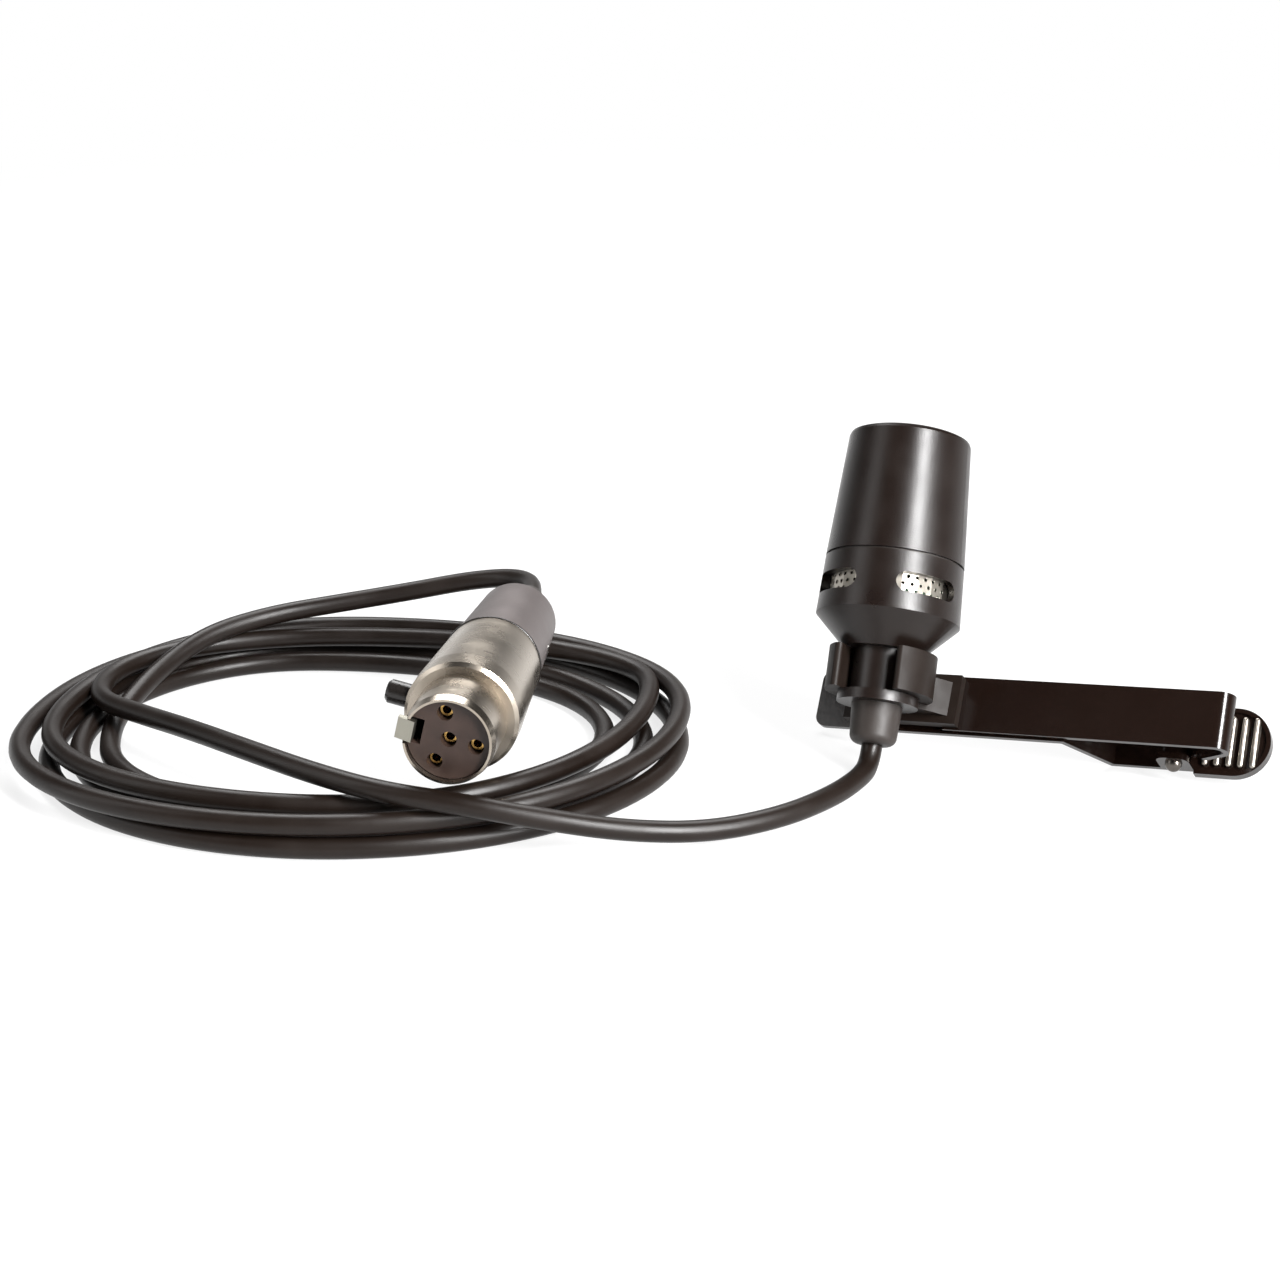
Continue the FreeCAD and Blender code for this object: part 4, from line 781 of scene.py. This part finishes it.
@dataclass
class Cord:
    """The thin cord, one smooth line from the microphone to the connector.

    Attributes:
        diameter: Its diameter.
        length: Its real length, free of the two ends inside; not used.
        lead: Points from the boot, over the front strands, to the coil's left end, in
            millimetres.
        coil: The coil.
        tail: Points from the coil, over the rear strands, to the connector, in millimetres.
        body: The CAD body that it rides on.
        round_steps: How finely its section and its line are drawn.
    """

    diameter: float = 2.1 * MM
    length: float = 1.02
    lead: tuple[Triple, ...] = (
        (-16.716, -6.387, 2.929), (-17.02, -7.47, 1.3), (-18.2, -10.2, 1.05), (-21.2, -14.6, 1.05),
        (-26.4, -19.4, 1.05), (-33.4, -22.9, 1.15), (-41.0, -24.9, 2.2), (-48.6, -26.2, 4.0),
        (-56.0, -26.4, 5.6), (-63.5, -24.2, 5.8), (-70.5, -19.6, 5.8), (-77.5, -13.8, 5.7),
        (-84.0, -7.4, 5.1), (-90.2, -1.2, 4.2), (-95.2, 3.9, 3.6))
    coil: Coil = field(default_factory=Coil)
    tail: tuple[Triple, ...] = (
        (-93.6, 7.0, 1.4), (-91.4, 13.4, 2.9), (-87.0, 19.4, 5.0), (-80.6, 23.8, 5.75),
        (-73.0, 26.2, 6.3), (-65.2, 27.0, 7.4), (-58.4, 26.8, 8.8), (-53.2, 24.6, 9.9),
        (-50.9, 20.4, 10.3), (-51.523, 15.718, 10.3))
    body: str = "microphone"
    round_steps: tuple[int, int] = (5, 8)

    def build(self) -> bpy.types.Object:
        """Returns:
            The cord's curve object.
        """
        route = [Vector(point) * MM for point in self.lead]
        route += self.coil.points()
        route += [Vector(point) * MM for point in self.tail]
        curve = bpy.data.curves.new("cord", "CURVE")
        curve.dimensions = "3D"
        curve.bevel_depth = self.diameter / 2
        curve.bevel_resolution, curve.resolution_u = self.round_steps
        curve.use_fill_caps = True
        spline = curve.splines.new("NURBS")
        spline.points.add(len(route) - 1)
        for point, place in zip(spline.points, route):
            point.co = (*place, 1.0)
        spline.order_u = 3
        spline.use_endpoint_u = True
        spline.use_smooth = True
        curve.materials.append(CORD_BLACK.material())
        made = bpy.data.objects.new("cord", curve)
        bpy.context.scene.collection.objects.link(made)
        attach(made, self.body)
        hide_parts("lead", "coil", "tail")
        LOG.info("cord: %d points", len(route))
        return made


# ---- the studio


@dataclass
class Lamp:
    """One soft box.

    Attributes:
        name: Its name.
        place_mm: Where it stands.
        target_mm: What it faces.
        size_mm: Its width and height.
        power: Its power in watts.
    """

    name: str
    place_mm: Triple
    target_mm: Triple
    size_mm: tuple[float, float]
    power: float

    def build(self) -> bpy.types.Object:
        """Hang the lamp.

        Returns:
            The lamp object.
        """
        data = bpy.data.lights.new(self.name, "AREA")
        data.shape = "RECTANGLE"
        data.size, data.size_y = (side * MM for side in self.size_mm)
        data.energy = self.power
        made = bpy.data.objects.new(self.name, data)
        bpy.context.scene.collection.objects.link(made)
        made.location = Vector(self.place_mm) * MM
        aim = (Vector(self.target_mm) - Vector(self.place_mm)).to_track_quat("-Z", "Y")
        made.rotation_euler = aim.to_euler()
        return made


@dataclass
class Studio:
    """The pale floor, the soft light and the camera.

    Attributes:
        camera_mm: Where the camera stands.
        pitch_deg: How far it looks down.
        lens_mm: Its focal length on a 36 mm sensor.
        floor_mm: Half of the floor's side.
        room_level: How brightly the room lights the pieces.
        glow_near: Distance from the origin up to which the floor shows most shadow.
        glow_far: Distance from which it shows none.
        glow_least: Its glow's share near the object.
        ceiling_from: Height of a mirrored direction at which the room begins to darken.
        ceiling_to: Height at which it is darkest.
        ceiling_level: How bright it is there.
        lamps: The soft boxes.
    """

    camera_mm: Triple = (-39.64, -219.55, 93.0)
    pitch_deg: float = 20.34
    lens_mm: float = 65.8
    floor_mm: float = 4000.0
    room_level: float = 0.14
    glow_near: float = 0.14
    glow_far: float = 0.42
    glow_least: float = 0.8
    ceiling_from: float = 0.0
    ceiling_to: float = 0.35
    ceiling_level: float = 0.05
    lamps: tuple[Lamp, ...] = (
        Lamp("soft_top", (-60, 270, 360), (-45, 0, 0), (340, 240), 2.4),
        Lamp("strip_right", (191, -273, 227), (-12, 0, 16), (80, 330), 6.6),
        Lamp("soft_left", (-388, -80, 203), (-30, 0, 14), (150, 320), 0.4),
    )

    def floor(self) -> bpy.types.Object:
        """Lay the floor.

        Returns:
            The floor object.
        """
        side = self.floor_mm * MM
        mesh = bpy.data.meshes.new("floor")
        mesh.from_pydata([(-side, -side, 0), (side, -side, 0), (side, side, 0), (-side, side, 0)],
                         [], [(0, 1, 2, 3)])
        made = bpy.data.objects.new("floor", mesh)
        bpy.context.scene.collection.objects.link(made)
        made.location.z = -FLOOR_DROP
        paper = bpy.data.materials.new("white_paper")
        paper.use_nodes = True
        nodes, links = paper.node_tree.nodes, paper.node_tree.links
        shader = nodes["Principled BSDF"]
        shader.inputs["Base Color"].default_value = (PAPER_TONE, PAPER_TONE, PAPER_TONE, 1)
        shader.inputs["Roughness"].default_value = PAPER_ROUGHNESS
        glow = nodes.new("ShaderNodeEmission")
        glow.inputs["Strength"].default_value = 1.0
        place = nodes.new("ShaderNodeTexCoord")
        away = nodes.new("ShaderNodeVectorMath")
        away.operation = "LENGTH"
        share = nodes.new("ShaderNodeMapRange")
        for label, value in (("From Min", self.glow_near), ("From Max", self.glow_far),
                             ("To Min", self.glow_least), ("To Max", 1.0)):
            share.inputs[label].default_value = value
        seen = nodes.new("ShaderNodeMath")
        seen.operation = "MULTIPLY"
        mix = nodes.new("ShaderNodeMixShader")
        links.new(place.outputs["Object"], away.inputs[0])
        links.new(away.outputs["Value"], share.inputs["Value"])
        links.new(share.outputs[0], seen.inputs[0])
        links.new(self.seen_rays(paper.node_tree), seen.inputs[1])
        links.new(seen.outputs[0], mix.inputs[0])
        links.new(shader.outputs[0], mix.inputs[1])
        links.new(glow.outputs[0], mix.inputs[2])
        links.new(mix.outputs[0], nodes["Material Output"].inputs["Surface"])
        mesh.materials.append(paper)
        return made

    @staticmethod
    def seen_rays(tree: bpy.types.NodeTree) -> bpy.types.NodeSocket:
        """Return 1 for the rays that show the background, straight, mirrored or through glass.

        Args:
            tree: The tree to add the nodes to.

        Returns:
            The output that carries the value.
        """
        rays = tree.nodes.new("ShaderNodeLightPath")
        last = rays.outputs["Is Camera Ray"]
        for label in ("Is Glossy Ray", "Is Transmission Ray"):
            either = tree.nodes.new("ShaderNodeMath")
            either.operation = "MAXIMUM"
            tree.links.new(last, either.inputs[0])
            tree.links.new(rays.outputs[label], either.inputs[1])
            last = either.outputs[0]
        return last

    def world(self) -> None:
        """Light the room dimly; show it white, but with a dark ceiling where it is mirrored."""
        world = bpy.data.worlds.new("studio")
        bpy.context.scene.world = world
        world.use_nodes = True
        nodes, links = world.node_tree.nodes, world.node_tree.links
        place = nodes.new("ShaderNodeTexCoord")
        split = nodes.new("ShaderNodeSeparateXYZ")
        ceiling = nodes.new("ShaderNodeMapRange")
        for label, value in (("From Min", self.ceiling_from), ("From Max", self.ceiling_to),
                             ("To Min", 1.0), ("To Max", self.ceiling_level)):
            ceiling.inputs[label].default_value = value
        level = nodes.new("ShaderNodeMapRange")
        level.inputs["To Min"].default_value = self.room_level
        links.new(place.outputs["Generated"], split.inputs[0])
        links.new(split.outputs["Z"], ceiling.inputs["Value"])
        links.new(self.seen_rays(world.node_tree), level.inputs["Value"])
        rays = nodes.new("ShaderNodeLightPath")
        shown = nodes.new("ShaderNodeMath")
        shown.operation = "MAXIMUM"
        links.new(ceiling.outputs[0], shown.inputs[0])
        links.new(rays.outputs["Is Camera Ray"], shown.inputs[1])
        links.new(shown.outputs[0], level.inputs["To Max"])
        links.new(level.outputs[0], nodes["Background"].inputs["Strength"])
        nodes["Background"].inputs["Color"].default_value = (1, 1, 1, 1)

    def camera(self) -> bpy.types.Object:
        """Place the camera at the photograph's angle.

        Returns:
            The camera object.
        """
        data = bpy.data.cameras.new("camera")
        data.sensor_width = SENSOR_MM
        data.lens = self.lens_mm
        data.clip_start = NEAREST_SEEN
        made = bpy.data.objects.new("camera", data)
        bpy.context.scene.collection.objects.link(made)
        made.location = Vector(self.camera_mm) * MM
        made.rotation_euler = Euler((math.radians(90 - self.pitch_deg), 0, 0))
        bpy.context.scene.camera = made
        return made

    def build(self) -> None:
        """Build the studio."""
        self.floor()
        self.world()
        self.camera()
        for lamp in self.lamps:
            lamp.build()
        bpy.context.scene.view_settings.view_transform = "Standard"
        LOG.info("studio: %d lamps", len(self.lamps))


def main() -> None:
    """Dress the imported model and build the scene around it."""
    logging.basicConfig(level=logging.INFO, format="%(name)s: %(message)s")
    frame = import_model()
    Studio().build()
    nodes, tree = frame["nodes"], RowTree()
    Microphone().build(nodes, tree)
    Clip().build(nodes, tree)
    Connector().build(nodes, tree)
    dress(nodes, {CORD_BLACK: ("lead", "coil", "tail")})
    Cord().build()
    bpy.context.view_layer.update()


if __name__ == "__main__":
    main()
